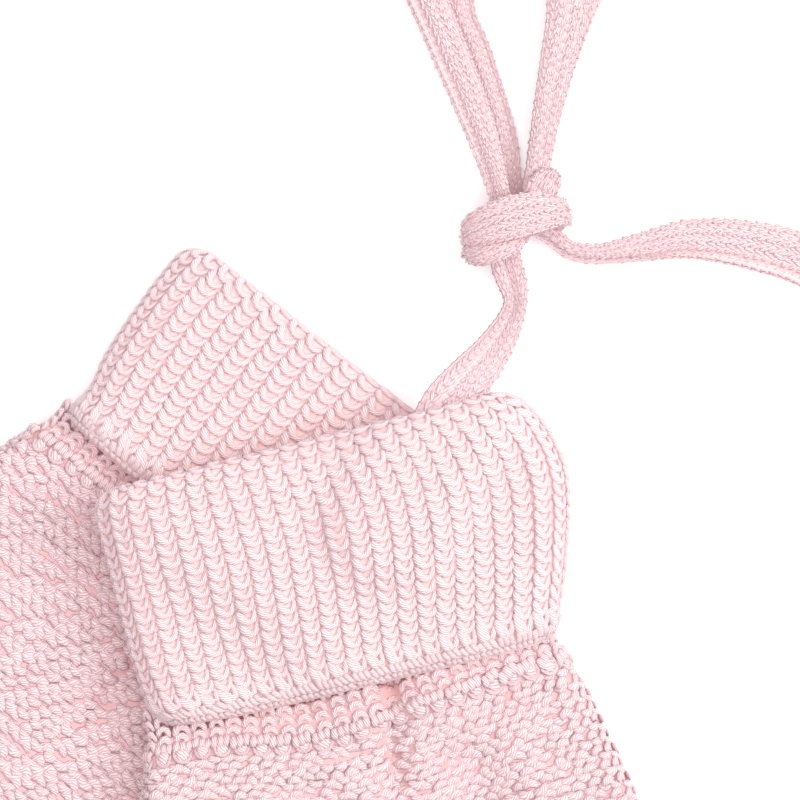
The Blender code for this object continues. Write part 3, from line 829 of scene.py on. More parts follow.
class Knitter:
    """Draws stitches on cloth: one Geometry Nodes tree sets a stitch on each point of a grid."""

    def __init__(self) -> None:
        """Builds the tree, with every size that varies as a named input."""
        tree = bpy.data.node_groups.new("stitches_on_cloth", "GeometryNodeTree")
        face = tree.interface
        sockets = (
            ("Grid", "Geometry"), ("Stitch", "Object"), ("Turn", "Float"), ("Unevenness", "Float"),
            ("Stray", "Float"), ("Seed", "Int"), ("Yarn", "Material"),
        )
        for label, kind in sockets:
            face.new_socket(label, in_out="INPUT", socket_type="NodeSocket" + kind)
        face.new_socket("Stitches", in_out="OUTPUT", socket_type="NodeSocketGeometry")
        given = add(tree, "NodeGroupInput").outputs
        facing, heading, size = (
            add(tree, "GeometryNodeInputNamedAttribute", {0: label}, data_type="FLOAT_VECTOR").outputs[0]
            for label in ("facing", "heading", "size")
        )
        upright = add(tree, "FunctionNodeAlignRotationToVector", {"Vector": facing}, axis="Z")
        laid = add(
            tree, "FunctionNodeAlignRotationToVector", {"Rotation": upright.outputs[0], "Vector": heading},
            axis="Y", pivot_axis="Z",
        )
        unit_noise = add(
            tree, "FunctionNodeRandomValue", {0: (-1.0,) * 3, 1: (1.0,) * 3, "Seed": given["Seed"]},
            data_type="FLOAT_VECTOR",
        ).outputs[0]
        spread = add(
            tree, "ShaderNodeVectorMath", {0: unit_noise, "Scale": given["Unevenness"]}, operation="SCALE"
        )
        grown = add(
            tree, "ShaderNodeVectorMath", {0: size, 1: spread.outputs[0], 2: size}, operation="MULTIPLY_ADD"
        )
        stitch = add(tree, "GeometryNodeObjectInfo", {"Object": given["Stitch"]})
        placed = add(
            tree, "GeometryNodeInstanceOnPoints",
            {"Points": given["Grid"], "Instance": stitch.outputs["Geometry"], "Rotation": laid.outputs[0],
             "Scale": grown.outputs[0]},
        )
        most = add(tree, "ShaderNodeCombineXYZ", {2: given["Turn"]})
        least = add(tree, "ShaderNodeVectorMath", {0: most.outputs[0], "Scale": -1.0}, operation="SCALE")
        wobble = add(
            tree, "FunctionNodeRandomValue",
            {0: least.outputs[0], 1: most.outputs[0], "Seed": given["Seed"]}, data_type="FLOAT_VECTOR",
        )
        turned = add(
            tree, "GeometryNodeRotateInstances",
            {"Instances": placed.outputs[0], "Rotation": wobble.outputs[0]},
        )
        flat = add(tree, "ShaderNodeVectorMath", {0: unit_noise, 1: (MM, MM, 0.0)}, operation="MULTIPLY")
        astray = add(
            tree, "ShaderNodeVectorMath", {0: flat.outputs[0], "Scale": given["Stray"]}, operation="SCALE"
        )
        strayed = add(
            tree, "GeometryNodeTranslateInstances",
            {"Instances": turned.outputs[0], "Translation": astray.outputs[0]},
        )
        # A random share of the painted highlight for each stitch
        shade = add(
            tree, "FunctionNodeRandomValue", {2: LEAST_HIGHLIGHT_SHARE, 3: 1.0, "Seed": given["Seed"]},
            data_type="FLOAT",
        )
        shaded = add(
            tree, "GeometryNodeStoreNamedAttribute",
            {"Geometry": strayed.outputs[0], "Name": "shade", "Value": shade.outputs[1]},
            data_type="FLOAT", domain="INSTANCE",
        )
        real = add(tree, "GeometryNodeRealizeInstances", {"Geometry": shaded.outputs[0]})
        dressed = add(
            tree, "GeometryNodeSetMaterial", {"Geometry": real.outputs[0], "Material": given["Yarn"]}
        )
        add(tree, "NodeGroupOutput", {0: dressed.outputs[0]})
        self.tree = tree
        self.prototypes = {kind: kind.build() for kind in Stitch}

    def put_away(self) -> None:
        """Takes the single stitches out of the scene once all pieces are drawn."""
        for stitch in self.prototypes.values():
            bpy.data.objects.remove(stitch)

    def knit(self, name: str, rows: list[StitchRows], yarn: bpy.types.Material) -> bpy.types.Object:
        """Draws some grids of stitches as one piece.

        Args:
            name: The piece's name.
            rows: The grids, each with its own kind of stitch.
            yarn: The yarn's material.

        Returns:
            The piece, a plain mesh.
        """
        meshes = [self.draw(part, yarn, SEED + n) for n, part in enumerate(rows)]
        build = bmesh.new()
        for mesh in meshes:
            build.from_mesh(mesh)
        joined = bpy.data.meshes.new(name)
        build.to_mesh(joined)
        build.free()
        joined.materials.append(yarn)
        joined.shade_smooth()
        for mesh in meshes:
            bpy.data.meshes.remove(mesh)
        return show(name, joined)

    def draw(self, rows: StitchRows, yarn: bpy.types.Material, seed: int) -> bpy.types.Mesh:
        """One grid of stitches as a plain mesh.

        Args:
            rows: The grid.
            yarn: The yarn's material.
            seed: For the unevenness of hand work.

        Returns:
            The mesh.
        """
        places, facings, headings, sizes = rows.frames()
        grid = bpy.data.meshes.new("grid")
        grid.from_pydata(places.tolist(), [], [])
        for label, values in (("facing", facings), ("heading", headings), ("size", sizes)):
            grid.attributes.new(label, "FLOAT_VECTOR", "POINT").data.foreach_set("vector", values.ravel())
        holder = bpy.data.objects.new("grid", grid)
        bpy.context.scene.collection.objects.link(holder)
        modifier = holder.modifiers.new("stitches", "NODES")
        modifier.node_group = self.tree
        values = {
            "Stitch": self.prototypes[rows.kind], "Turn": rows.turn, "Unevenness": rows.unevenness,
            "Stray": rows.stray, "Seed": seed, "Yarn": yarn,
        }
        for socket in self.tree.interface.items_tree:
            if socket.in_out == "INPUT" and socket.name in values:
                modifier[socket.identifier] = values[socket.name]
        graph = bpy.context.evaluated_depsgraph_get()
        drawn = holder.evaluated_get(graph)
        mesh = bpy.data.meshes.new_from_object(drawn, preserve_all_data_layers=True, depsgraph=graph)
        holder.modifiers.remove(modifier)
        bpy.data.objects.remove(holder)
        bpy.data.meshes.remove(grid)
        return mesh


@dataclass
class StitchRows:
    """A grid of places for stitches of one kind, its rows one after the other along the cloth."""

    kind: Stitch
    points: np.ndarray           # metres, as rows by columns by three
    wanted: np.ndarray           # True for each stitch that is drawn
    turn: float = 0.09           # radians to either side
    unevenness: float = 0.07     # share of its size, up or down
    stray: float = 0.05          # millimetres to either side

    def frames(self) -> tuple[np.ndarray, np.ndarray, np.ndarray, np.ndarray]:
        """How each stitch that is wanted is set on the cloth.

        Returns:
            Its place, way out of the cloth, way along it and scale.
        """
        heading = np.gradient(self.points, axis=0)
        across = (np.roll(self.points, -1, axis=1) - np.roll(self.points, 1, axis=1)) / 2
        facing = unit(np.cross(heading, across))
        width, tall = self.kind.pitch
        size = np.stack(
            (
                np.linalg.norm(across, axis=-1) / (width * MM),
                np.linalg.norm(heading, axis=-1) / (tall * MM),
                np.ones(self.points.shape[:2]),
            ),
            axis=-1,
        )
        size = np.clip(size, LEAST_SCALE, MOST_SCALE)
        return self.points[self.wanted], facing[self.wanted], unit(heading)[self.wanted], size[self.wanted]


def show(name: str, mesh: bpy.types.Mesh) -> bpy.types.Object:
    """Puts a mesh in the scene as a piece that moves with the pair.

    Args:
        name: The piece's name.
        mesh: Its mesh.

    Returns:
        The piece.
    """
    piece = bpy.data.objects.new(name, mesh)
    bpy.context.scene.collection.objects.link(piece)
    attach(piece, "root")
    LOG.info("%s: %d faces", name, len(mesh.polygons))
    return piece


def shell(name: str, rings: np.ndarray, finish: bpy.types.Material, looped: bool) -> bpy.types.Object:
    """A closed cloth, with a ring of points round the piece for each place along it.

    Args:
        name: The piece's name.
        rings: Points in metres, as rings by points by three.
        finish: Its material.
        looped: Whether the last ring joins the first one, or both ends are closed.

    Returns:
        The piece.
    """
    count, around = rings.shape[:2]
    points = rings.reshape(-1, 3)
    index = np.arange(count * around).reshape(count, around)
    low = index if looped else index[:-1]
    high = np.roll(index, -1, axis=0) if looped else index[1:]
    quads = np.stack((low, np.roll(low, -1, axis=1), np.roll(high, -1, axis=1), high), axis=-1).reshape(-1, 4)
    faces = quads.tolist()
    if not looped:
        points = np.concatenate((points, rings[0].mean(axis=0)[None], rings[-1].mean(axis=0)[None]))
        for ring, tip in ((index[0], len(points) - 2), (index[-1], len(points) - 1)):
            faces += [[ring[k], ring[(k + 1) % around], tip] for k in range(around)]
    mesh = bpy.data.meshes.new(name)
    mesh.from_pydata(points.tolist(), [], faces)
    build = bmesh.new()
    build.from_mesh(mesh)
    bmesh.ops.recalc_face_normals(build, faces=build.faces)
    build.to_mesh(mesh)
    build.free()
    mesh.materials.append(finish)
    mesh.shade_smooth()
    return show(name, mesh)


@dataclass
class Cuff:
    """A ribbed tube turned down over itself, its free edge cast off and rolled."""

    mitten: Mitten
    row_height: float = 1.9
    ribs_on_top: int = 24        # of all 48, fewer where the top is stretched
    round_it: float = 0.158      # metres round the tube, as it is knitted
    edge_band: float = 5.4       # the cast-off edge takes this much of the flap's length
    roll_radius: float = 1.4
    roll_ground: float = 1.15    # radius of the roll's cloth
    roll_back: float = 1.7       # the roll's middle lies this far back from the free edge
    roll_top: float = 0.3        # and its top this deep
    flap_back: float = 1.8       # the flap's plain cloth ends this far back
    rib_depth: float = 0.32      # the ribs' yarn is set on the cloth this deep
    ground_depth: float = 0.18   # the cloth lies this deep at the middle of a rib
    groove_depth: float = 0.22   # and this much deeper between two ribs
    fold_rows: float = 1.5       # ribs this near the front cuff's fold show past the other mitten
    settled: float = 0.8         # the underside gives this much where it rests on the table
    # Place across, and how far past its length the free edge lies there
    bent: tuple = ((-36.0, -1.6), (-30.0, -0.9), (-20.0, -0.2), (0.0, 0.0), (20.0, 0.2), (30.0, 0.0))

    def surface(self, along: np.ndarray, depth: np.ndarray, turn: np.ndarray) -> np.ndarray:
        """Points of the flattened tube, in metres.

        Args:
            along: Distance from the folded edge.
            depth: Depth in from the solid's outside.
            turn: Place round the tube, from 0 to 1.

        Returns:
            The points.
        """
        along, depth, turn = np.broadcast_arrays(along, depth, turn)
        left, right = read(self.mitten.cuff, 1, along), read(self.mitten.cuff, 2, along)
        half = np.full(along.shape, CUFF_HALF)
        across, up, lean = section(left, right, half, depth, turn)
        resting = np.where(depth < 1.0, self.settled * (0.5 - 0.5 * lean), 0.0)
        sag = read(self.bent, 1, across) * np.clip(along / self.mitten.cuff_length, 0.0, 1.0) ** 3
        return self.mitten.place(along + sag, across, up + CUFF_HALF + resting, lean)

    def turns(self, ribs: np.ndarray) -> np.ndarray:
        """Place round the tube of a rib by its number: the stretched side has fewer and wider ribs."""
        top = self.ribs_on_top
        return np.where(ribs < top, ribs / top / 2, 0.5 + (ribs - top) / (RIBS - top) / 2)

    def ground(self, finish: bpy.types.Material) -> bpy.types.Object:
        """The cloth itself: flap, fold and inner wall as one closed sweep, grooved between the ribs.

        Args:
            finish: Its material.

        Returns:
            The piece.
        """
        length = self.mitten.cuff_length
        inner = WALL + LAYER_GAP
        deep = inner + WALL
        flap = np.linspace(length - self.flap_back, FOLD_RADIUS, 18)
        rim = self.roll_ground
        profile = [
            (length - self.roll_back + rim * math.sin(bend), self.roll_top + rim * (1 - math.cos(bend)), 0.0)
            for bend in (2.0, 1.3, 0.6)
        ]
        profile += [(along, self.ground_depth, 1.0) for along in flap]
        for angle in np.linspace(0.25, math.pi, 7):
            rim = FOLD_RADIUS - self.ground_depth
            profile.append(
                (FOLD_RADIUS - rim * math.sin(angle), FOLD_RADIUS - rim * math.cos(angle), float(angle < 2.6))
            )
        profile += [(along, deep - 0.1, 0.0) for along in np.linspace(5.0, length + WRIST_PAST, 8)]
        profile += [(along, inner, 0.0) for along in np.linspace(length + WRIST_PAST, FOLD_RADIUS + 0.6, 8)]
        profile += [(along, WALL, 0.0) for along in np.linspace(FOLD_RADIUS + 0.8, length - 1.2, 8)]
        along, depth, ribbed = (np.array(column)[:, None] for column in zip(*profile))
        turn = self.turns(np.arange(4 * RIBS) / 4)[None, :]
        sunk = self.groove_depth * (0.5 + 0.5 * np.cos(math.pi / 2 * np.arange(4 * RIBS)))[None, :]
        sign = np.where(depth > FOLD_RADIUS, -1.0, 1.0)
        rings = self.surface(along, depth + sign * ribbed * sunk, turn)
        return shell(self.mitten.name + "_cuff_cloth", rings, finish, looped=True)

    def rows(self) -> list[StitchRows]:
        """Ribs over the flap and round its fold, then the fanned row and the rolled cast-off edge.

        Returns:
            The grids.
        """
        length = self.mitten.cuff_length
        arc = math.pi * FOLD_RADIUS
        straight = length - self.edge_band - FOLD_RADIUS
        count = round((arc + straight) / self.row_height)
        way = np.linspace(0.6, arc + straight, count)
        angle = np.clip(math.pi - way / FOLD_RADIUS, 0.0, math.pi)
        rim = FOLD_RADIUS - self.rib_depth
        along = np.where(way < arc, FOLD_RADIUS - rim * np.sin(angle), FOLD_RADIUS + way - arc)
        depth = FOLD_RADIUS - rim * np.cos(angle)
        turn = self.turns(np.arange(RIBS) + 0.5)
        ribs = self.grid(Stitch.RIB, along, depth, turn, turn_jitter=0.10)
        fan_along = np.array((length - self.edge_band - 1.2, length - self.edge_band + 1.7, length - 1.0))
        fan = self.grid(Stitch.LEAF, fan_along, np.array((0.2, 0.2, 0.6)), turn, turn_jitter=0.14)
        fan = self.pick(fan, slice(1, 2))
        bend = np.linspace(0.0, math.pi * 0.8, 3)
        rim = self.roll_radius - 0.2
        roll_along = length - self.roll_back + rim * np.sin(bend)
        roll_depth = self.roll_top + rim * (1 - np.cos(bend))
        roll = self.grid(Stitch.EDGE, roll_along, roll_depth, turn, turn_jitter=0.3)
        return [ribs, fan, roll]

    def grid(self, kind: Stitch, along: np.ndarray, depth: np.ndarray, turn: np.ndarray,
             turn_jitter: float) -> StitchRows:
        """Stitches at every mix of some distances along and some places round.

        Args:
            kind: The kind of stitch.
            along: Distances from the fold, one for each row.
            depth: Depths, one for each row.
            turn: Places round the tube, one for each column.
            turn_jitter: How unevenly the stitches are turned, in radians.

        Returns:
            The grid, without the stitches that the other mitten hides.
        """
        points = self.surface(along[:, None], depth[:, None], turn[None, :])
        at_fold = (self.mitten is FRONT) & (along < self.fold_rows)[:, None]
        return StitchRows(kind, points, wanted=seen(self.mitten, points, turn) | at_fold, turn=turn_jitter)

    @staticmethod
    def pick(rows: StitchRows, part: slice) -> StitchRows:
        """The grid with only some of its rows wanted.

        Args:
            rows: The grid.
            part: Which of its rows are kept.

        Returns:
            The same grid.
        """
        wanted = np.zeros(rows.points.shape[:2], bool)
        wanted[part] = True
        rows.wanted = wanted & rows.wanted
        return rows

    def make(self, knitter: Knitter, ground: bpy.types.Material, yarn: bpy.types.Material) -> None:
        """Args:
            knitter: Draws the stitches.
            ground: The cloth's material.
            yarn: The yarn's material.
        """
        cloth = self.ground(ground)
        ribs = knitter.knit(self.mitten.name + "_cuff_ribs", self.rows(), yarn)
        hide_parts(self.mitten.name + "_cuff")


def seen(mitten: Mitten, points: np.ndarray, turn: np.ndarray) -> np.ndarray:
    """Which stitches are drawn: all but those pressed between the two mittens.

    Args:
        mitten: The mitten that the stitches are on.
        points: Their places in metres, as rows by columns by three.
        turn: Place round the tube of each column: up to a half it faces up.

    Returns:
        True for each stitch that is drawn.
    """
    other = REAR if mitten is FRONT else FRONT
    flat = points[..., :2] / MM + MIDDLE[:2]
    start, end = PRESSED_REAR if mitten is REAR else PRESSED_FRONT
    pressed = (turn >= start) & (turn < end)
    return ~((other.outside(flat) < -COVERED) & pressed[None, :])


@dataclass
class Hand:
    """A bag knitted purl side out, sewn to the cuff along a chain row, with one sunk seam."""

    mitten: Mitten
    wales: int = 70
    row_height: float = 2.4
    round_it: float = 0.170      # metres round the bag, as it is knitted
    purl_from: float = 6.3       # the first purl row lies this far along
    purl_depth: float = 0.26
    chain_rows: tuple = (        # kind, distance along at the chain row's mean, depth, stitches round
        (Stitch.EYELET, -2.9, 0.35, 50), (Stitch.EYELET, -1.2, 0.35, 50), (Stitch.EYELET, 0.5, 0.35, 50),
        (Stitch.EYELET, 2.1, 0.3, 50), (Stitch.BAR, 3.5, 0.0, 46), (Stitch.SCALLOP, 4.9, 0.2, 46),
    )
    ground_depth: float = 0.27
    wrist_sink: float = 1.2      # how far the cloth dips where it goes under the flap
    wrist_to: float = 1.6        # it dips up to here
    wrist_rise: float = 2.2      # and is level again this much further on
    settled: float = 0.7         # the underside gives this much where it rests on the table
    upper_side: float = 0.53     # stitches up to this place round the bag show from above
    chain: tuple = CHAIN_BOW
    chain_mean: float = 4.0      # the chain row's mean distance past the flap's edge
    chain_follow: float = -9.0   # how far along the chain rows follow its bow in full
    purl_follow: float = 4.0     # and the purl rows
    bow_rise: float = 4.0        # they start to follow it this much sooner
    bow_to: float = 12.0         # and from here they follow it less and less
    bow_fade: float = 40.0
    wrinkles: tuple = (          # across, along, reach to either side, height
        (-12.0, 9.6, 13.0, 0.35), (-15.0, 13.2, 15.0, 0.30), (16.0, 11.0, 10.0, 0.2),
    )

    def surface(self, along: np.ndarray, depth: np.ndarray, turn: np.ndarray,
                follow: float | None) -> np.ndarray:
        """Points of the bag, in metres.

        Args:
            along: Distance from the seam with the cuff.
            depth: Depth in from the solid's outside.
            turn: Place round the bag, from 0 to 1.
            follow: How far along the rows start to follow the bowed chain row, or None if they are straight.

        Returns:
            The points.
        """
        along, depth, turn = (part.copy() for part in np.broadcast_arrays(along, depth, turn))
        if follow is not None:
            across, _, lean = self.slice(along, depth, turn)
            bow = read(self.chain, 1, across - self.mitten.hand_across) - self.chain_mean
            fading = fall(along, self.bow_to, self.bow_fade)
            rising = fall(-along, -follow, self.bow_rise)
            along = along + bow * fading * (0.5 + 0.5 * lean) * rising
        across, up, lean = self.slice(along, depth, turn)
        facing_up = np.clip(lean, 0.0, 1.0) ** 2
        beside = across - SEAM_ACROSS - SEAM_DRIFT * along - self.mitten.hand_across
        fades = fall(along, SEAM_FROM, SEAM_FADE)
        valley = SEAM_DEPTH * np.exp(-((beside / SEAM_HALF) ** 2) * 2)
        notch = NOTCH_DEPTH * np.exp(-((beside / NOTCH_HALF) ** 2))
        sunk = fades * (valley + notch) + self.wrist_sink * fall(along, self.wrist_to, self.wrist_rise)
        swell = SWELL_HEIGHT * fades * np.exp(-(((np.abs(beside) - SWELL_BESIDE) / SWELL_HALF) ** 2))
        up = up + facing_up * (swell - sunk)
        for centre, place, width, height in self.wrinkles:
            trough = TROUGH_SHARE * np.exp(-(((along - place - TROUGH_PAST) / TROUGH_HALF) ** 2))
            ridge = np.exp(-(((along - place) / WRINKLE_HALF) ** 2)) - trough
            reach = np.exp(-(((across - self.mitten.hand_across - centre) / width) ** 4))
            up = up + facing_up * height * ridge * reach
        resting = np.where(depth < 1.0, self.settled * (0.5 - 0.5 * lean), 0.0)
        start = self.mitten.cuff_length + WRIST_PAST + SEAM_GAP
        return self.mitten.place(start + along, across, up + resting, lean)

    def slice(self, along: np.ndarray, depth: np.ndarray, turn: np.ndarray) -> tuple[np.ndarray, ...]:
        """Points of the bag before its seam and wrinkles sink and lift them.

        Args:
            along: Distance from the seam with the cuff.
            depth: Depth in from the solid's outside.
            turn: Place round the bag, from 0 to 1.

        Returns:
            Across, height over the table, and lean, 1 facing up and -1 facing down.
        """
        shift = self.mitten.hand_across
        half = WRIST_HALF + (HAND_HALF - WRIST_HALF) * (1 - fall(along, 0.0, WRIST_SETTLE))
        to_tip = np.clip((along - (HAND_LENGTH - TIP_ROUND)) / TIP_ROUND, 0.0, 0.9999)
        half = half * np.sqrt(1 - to_tip**2)
        middle = half + (CUFF_HALF - WRIST_HALF) * fall(along, 0.0, WRIST_SETTLE)
        left, right = read(HAND, 1, along) + shift, read(HAND, 2, along) + shift
        half = np.maximum(half, 0.1)
        across, up, lean = section(left, right, half, np.minimum(depth, half - LEAST_HOLLOW), turn)
        return across, middle + up, lean

    def ground(self, finish: bpy.types.Material) -> bpy.types.Object:
        """The cloth itself, one closed wall from the wrist to the fingertips.

        Args:
            finish: Its material.

        Returns:
            The piece.
        """
        # The rings are closer by the wrist, where the cloth bends most
        outer = np.concatenate((np.linspace(0.0, 30.0, 31), np.linspace(32.0, 88.0, 29), (89.6,)))
        inner = outer[outer < 84.0][::-1][::3]
        along = np.concatenate((outer, inner))[:, None]
        depth = np.where(np.arange(len(along)) < len(outer), self.ground_depth, WALL)[:, None]
        turn = np.arange(180)[None, :] / 180
        points = self.surface(along, depth, turn, follow=None)
        return shell(self.mitten.name + "_hand_cloth", points, finish, looped=True)

    def rows(self) -> list[StitchRows]:
        """The eyelet rows, bar row and scalloped chain row, and purl stitches from there to the tip.

        Returns:
            The grids.
        """
        chain_rows = []
        for kind, place, depth, count in self.chain_rows:
            turn = np.arange(count) / count
            span = kind.pitch[1]
            spots = np.array((place - span, place, place + span))[:, None]
            points = self.surface(spots, depth, turn[None, :], follow=self.chain_follow)
            rows = StitchRows(
                kind, points, wanted=seen(self.mitten, points, turn), turn=0.2, unevenness=0.1, stray=0.1
            )
            chain_rows.append(Cuff.pick(rows, slice(1, 2)))
        along = np.arange(self.purl_from, HAND_LENGTH - 1.5, self.row_height)
        turn = np.arange(self.wales) / self.wales
        points = self.surface(along[:, None], self.purl_depth, turn[None, :], follow=self.purl_follow)
        up_side = np.broadcast_to(turn < self.upper_side, points.shape[:2])
        wanted = seen(self.mitten, points, turn)
        upper = StitchRows(
            Stitch.PURL, points, wanted=wanted & up_side, turn=0.3, unevenness=0.14, stray=0.22
        )
        under = StitchRows(Stitch.PURL_UNDER, points, wanted=wanted & ~up_side, turn=0.15)
        return chain_rows + [upper, under]

    def make(self, knitter: Knitter, ground: bpy.types.Material, yarn: bpy.types.Material) -> None:
        """Args:
            knitter: Draws the stitches.
            ground: The cloth's material.
            yarn: The yarn's material.
        """
        cloth = self.ground(ground)
        stitches = knitter.knit(self.mitten.name + "_hand_stitches", self.rows(), yarn)
        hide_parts(self.mitten.name + "_hand")


@dataclass
class Cord:
    """A stretch of the flat knitted cord from the knot, pinched there and spreading where it lies free."""

    name: str
    route: tuple
    widths: tuple = ()
    end_widths: tuple = ()       # a loop has a second table, read from its far end
    start_tuck: tuple = ()       # a point inside the knot before the route, and one after it
    end_tuck: tuple = ()
    spread: float = 1.0          # its thickness is divided by this where it lies spread
    columns: int = 11
    row_height: float = 1.58
    crease: float = 0.0          # depth of a crease along its upper side
    crease_across: float = 0.0   # and its place, as a share of half the width
    crease_half: float = 0.8
    ground_depth: float = 0.44   # the cloth lies this deep
    yarn_depth: float = 0.42     # and the stitches are set this deep

    def line(self) -> np.ndarray:
        """Its centreline, with a point for every row of stitches.

        Returns:
            The points in millimetres.
        """
        points = np.array(self.start_tuck + self.route + self.end_tuck)
        rough = smooth(points, 400)
        total = float(np.linalg.norm(np.diff(rough, axis=0), axis=1).sum())
        return smooth(points, round(total / self.row_height) + 1)

    def length(self) -> float:
        """Length of the centreline in metres."""
        return float(np.linalg.norm(np.diff(self.line(), axis=0), axis=1).sum()) * MM

    def share(self, line: np.ndarray) -> np.ndarray:
        """The cord's share of its full width: small at the knot, wide where it lies free.

        Args:
            line: The centreline's points.

        Returns:
            The share at each point.
        """
        way = np.concatenate(((0.0,), np.cumsum(np.linalg.norm(np.diff(line, axis=0), axis=1))))
        tucked = [
            sum(math.dist(a, b) for a, b in zip(tuck[:1], end[:1]))
            for tuck, end in ((self.start_tuck, self.route), (self.end_tuck, self.route[::-1]))
        ]
        width = read(self.widths, 1, way - tucked[0])
        if self.end_widths:
            width = np.minimum(width, read(self.end_widths, 1, way[-1] - way - tucked[1]))
        return width / CORD_WIDTH

    def thickness(self, line: np.ndarray) -> np.ndarray:
        """The cord's thickness at each point in millimetres."""
        return CORD_THICK / self.spread * np.minimum(1.0, 0.35 + 0.65 * self.share(line))

    def axes(self, line: np.ndarray) -> tuple[np.ndarray, np.ndarray]:
        """Its ways across and up.

        Args:
            line: The centreline's points.

        Returns:
            The two ways at each point.
        """
        tangents = unit(np.gradient(line, axis=0))
        across = unit(np.cross(tangents, UP))
        return across, np.cross(across, tangents)

    def rings(self, depth: float, count: int) -> np.ndarray:
        """Rings of points round the cord, evenly spaced on each ring.

        Args:
            depth: Depth in from the outside in millimetres.
            count: Points in a ring.

        Returns:
            Points in metres, rings by points by three.
        """
        line = self.line()
        share = self.share(line)[:, None]
        angle = np.linspace(0, 2 * math.pi, 121)
        across = (CORD_WIDTH / 2 * share - depth) * np.cos(angle)
        up = (self.thickness(line)[:, None] / 2 - depth) * np.sin(angle)
        if self.crease:
            place = self.crease_across * CORD_WIDTH / 2 * share
            trough = np.exp(-(((across - place) / self.crease_half) ** 2))
            up = up - self.crease * np.clip(np.sin(angle), 0, 1) * trough
        steps = (np.diff(part, axis=1, prepend=part[:, :1]) for part in (across, up))
        way = np.cumsum(np.hypot(*steps), axis=1)
        wanted = (np.arange(count) + 0.5) / count
        across, up = (
            np.array([np.interp(wanted * run[-1], run, value) for run, value in zip(way, values)])
            for values in (across, up)
        )
        side, rise = self.axes(line)
        points = line[:, None] - across[..., None] * side[:, None] + up[..., None] * rise[:, None]
        points[..., 2] = np.maximum(points[..., 2], 0.1)
        return (points - MIDDLE) * MM

    def make(self, knitter: Knitter, ground: bpy.types.Material, yarn: bpy.types.Material,
             ) -> tuple[bpy.types.Object, bpy.types.Object]:
        """Makes the cord's cloth and stitches.

        Args:
            knitter: Draws the stitches.
            ground: The cloth's material.
            yarn: The yarn's material.

        Returns:
            The cloth and the stitches.
        """
        cloth = shell(self.name + "_cloth", self.rings(self.ground_depth, 24), ground, looped=False)
        points = self.rings(self.yarn_depth, self.columns)
        odd = np.arange(self.columns) % 2 == 1       # these columns lie half a row further on
        rows = [
            StitchRows(
                Stitch.PLAIN, grid, wanted=np.broadcast_to(columns, grid.shape[:2]), turn=0.13,
                unevenness=0.12, stray=0.07,
            )
            for grid, columns in ((points[1:-1], ~odd), ((points[1:-2] + points[2:-1]) / 2, odd))
        ]
        stitches = knitter.knit(self.name + "_stitches", rows, yarn)
        return cloth, stitches

    def path(self) -> list[list[float]]:
        """Its centreline in metres."""
        return ((self.line() - MIDDLE) * MM).tolist()


@dataclass
class KnotTurn(Cord):
    """One turn of the cord in the knot: an arch over what it holds, narrow where it goes underneath."""

    middle: tuple[float, float, float] = (0.0, 0.0, 0.0)
    reach: float = 7.9           # half the arch's width
    rise: float = 3.4            # and half its height
    bow: float = 1.6             # its middle lies this much further from the mittens than its ends
    tilt: float = 14.0           # degrees from the layout's X
    start: float = -35.0         # degrees round the arch from its right side
    end: float = 215.0
    width: float = 7.6
    thick: float = 3.0

    def around(self, count: int) -> np.ndarray:
        """Places round the arch in radians."""
        return np.radians(np.linspace(self.end, self.start, count))

    def line(self) -> np.ndarray:
        """Its centreline, with a point for every row of stitches.

        Returns:
            The points in millimetres.
        """
        angle = self.around(60)[:, None]
        tilt = math.radians(self.tilt)
        way = np.array((math.cos(tilt), math.sin(tilt), 0.0))
        back = np.array((-math.sin(tilt), math.cos(tilt), 0.0))
        arch = self.reach * np.cos(angle) * way + self.bow * np.sin(angle) * back
        arch = arch + self.rise * np.sin(angle) * UP
        total = float(np.linalg.norm(np.diff(arch, axis=0), axis=1).sum())
        return smooth(np.array(self.middle) + arch, max(4, round(total / self.row_height) + 1))

    def share(self, line: np.ndarray) -> np.ndarray:
        """The turn is widest over the top and narrows as it goes underneath."""
        over = np.clip(np.sin(self.around(len(line))), 0.0, 1.0)
        return self.width / CORD_WIDTH * (0.55 + 0.45 * over**0.6)

    def thickness(self, line: np.ndarray) -> np.ndarray:
        """The turn's thickness at each point in millimetres."""
        return np.full(len(line), self.thick)

    def axes(self, line: np.ndarray) -> tuple[np.ndarray, np.ndarray]:
        """Its ways across and up, the last pointing out of the arch.

        Args:
            line: The centreline's points.

        Returns:
            The two ways at each point.
        """
        tangents = unit(np.gradient(line, axis=0))
        tilt = math.radians(self.tilt)
        lying = np.broadcast_to(np.array((math.sin(tilt), -math.cos(tilt), 0.0)), tangents.shape)
        rise = unit(np.cross(lying, tangents))
        return unit(np.cross(tangents, rise)), rise


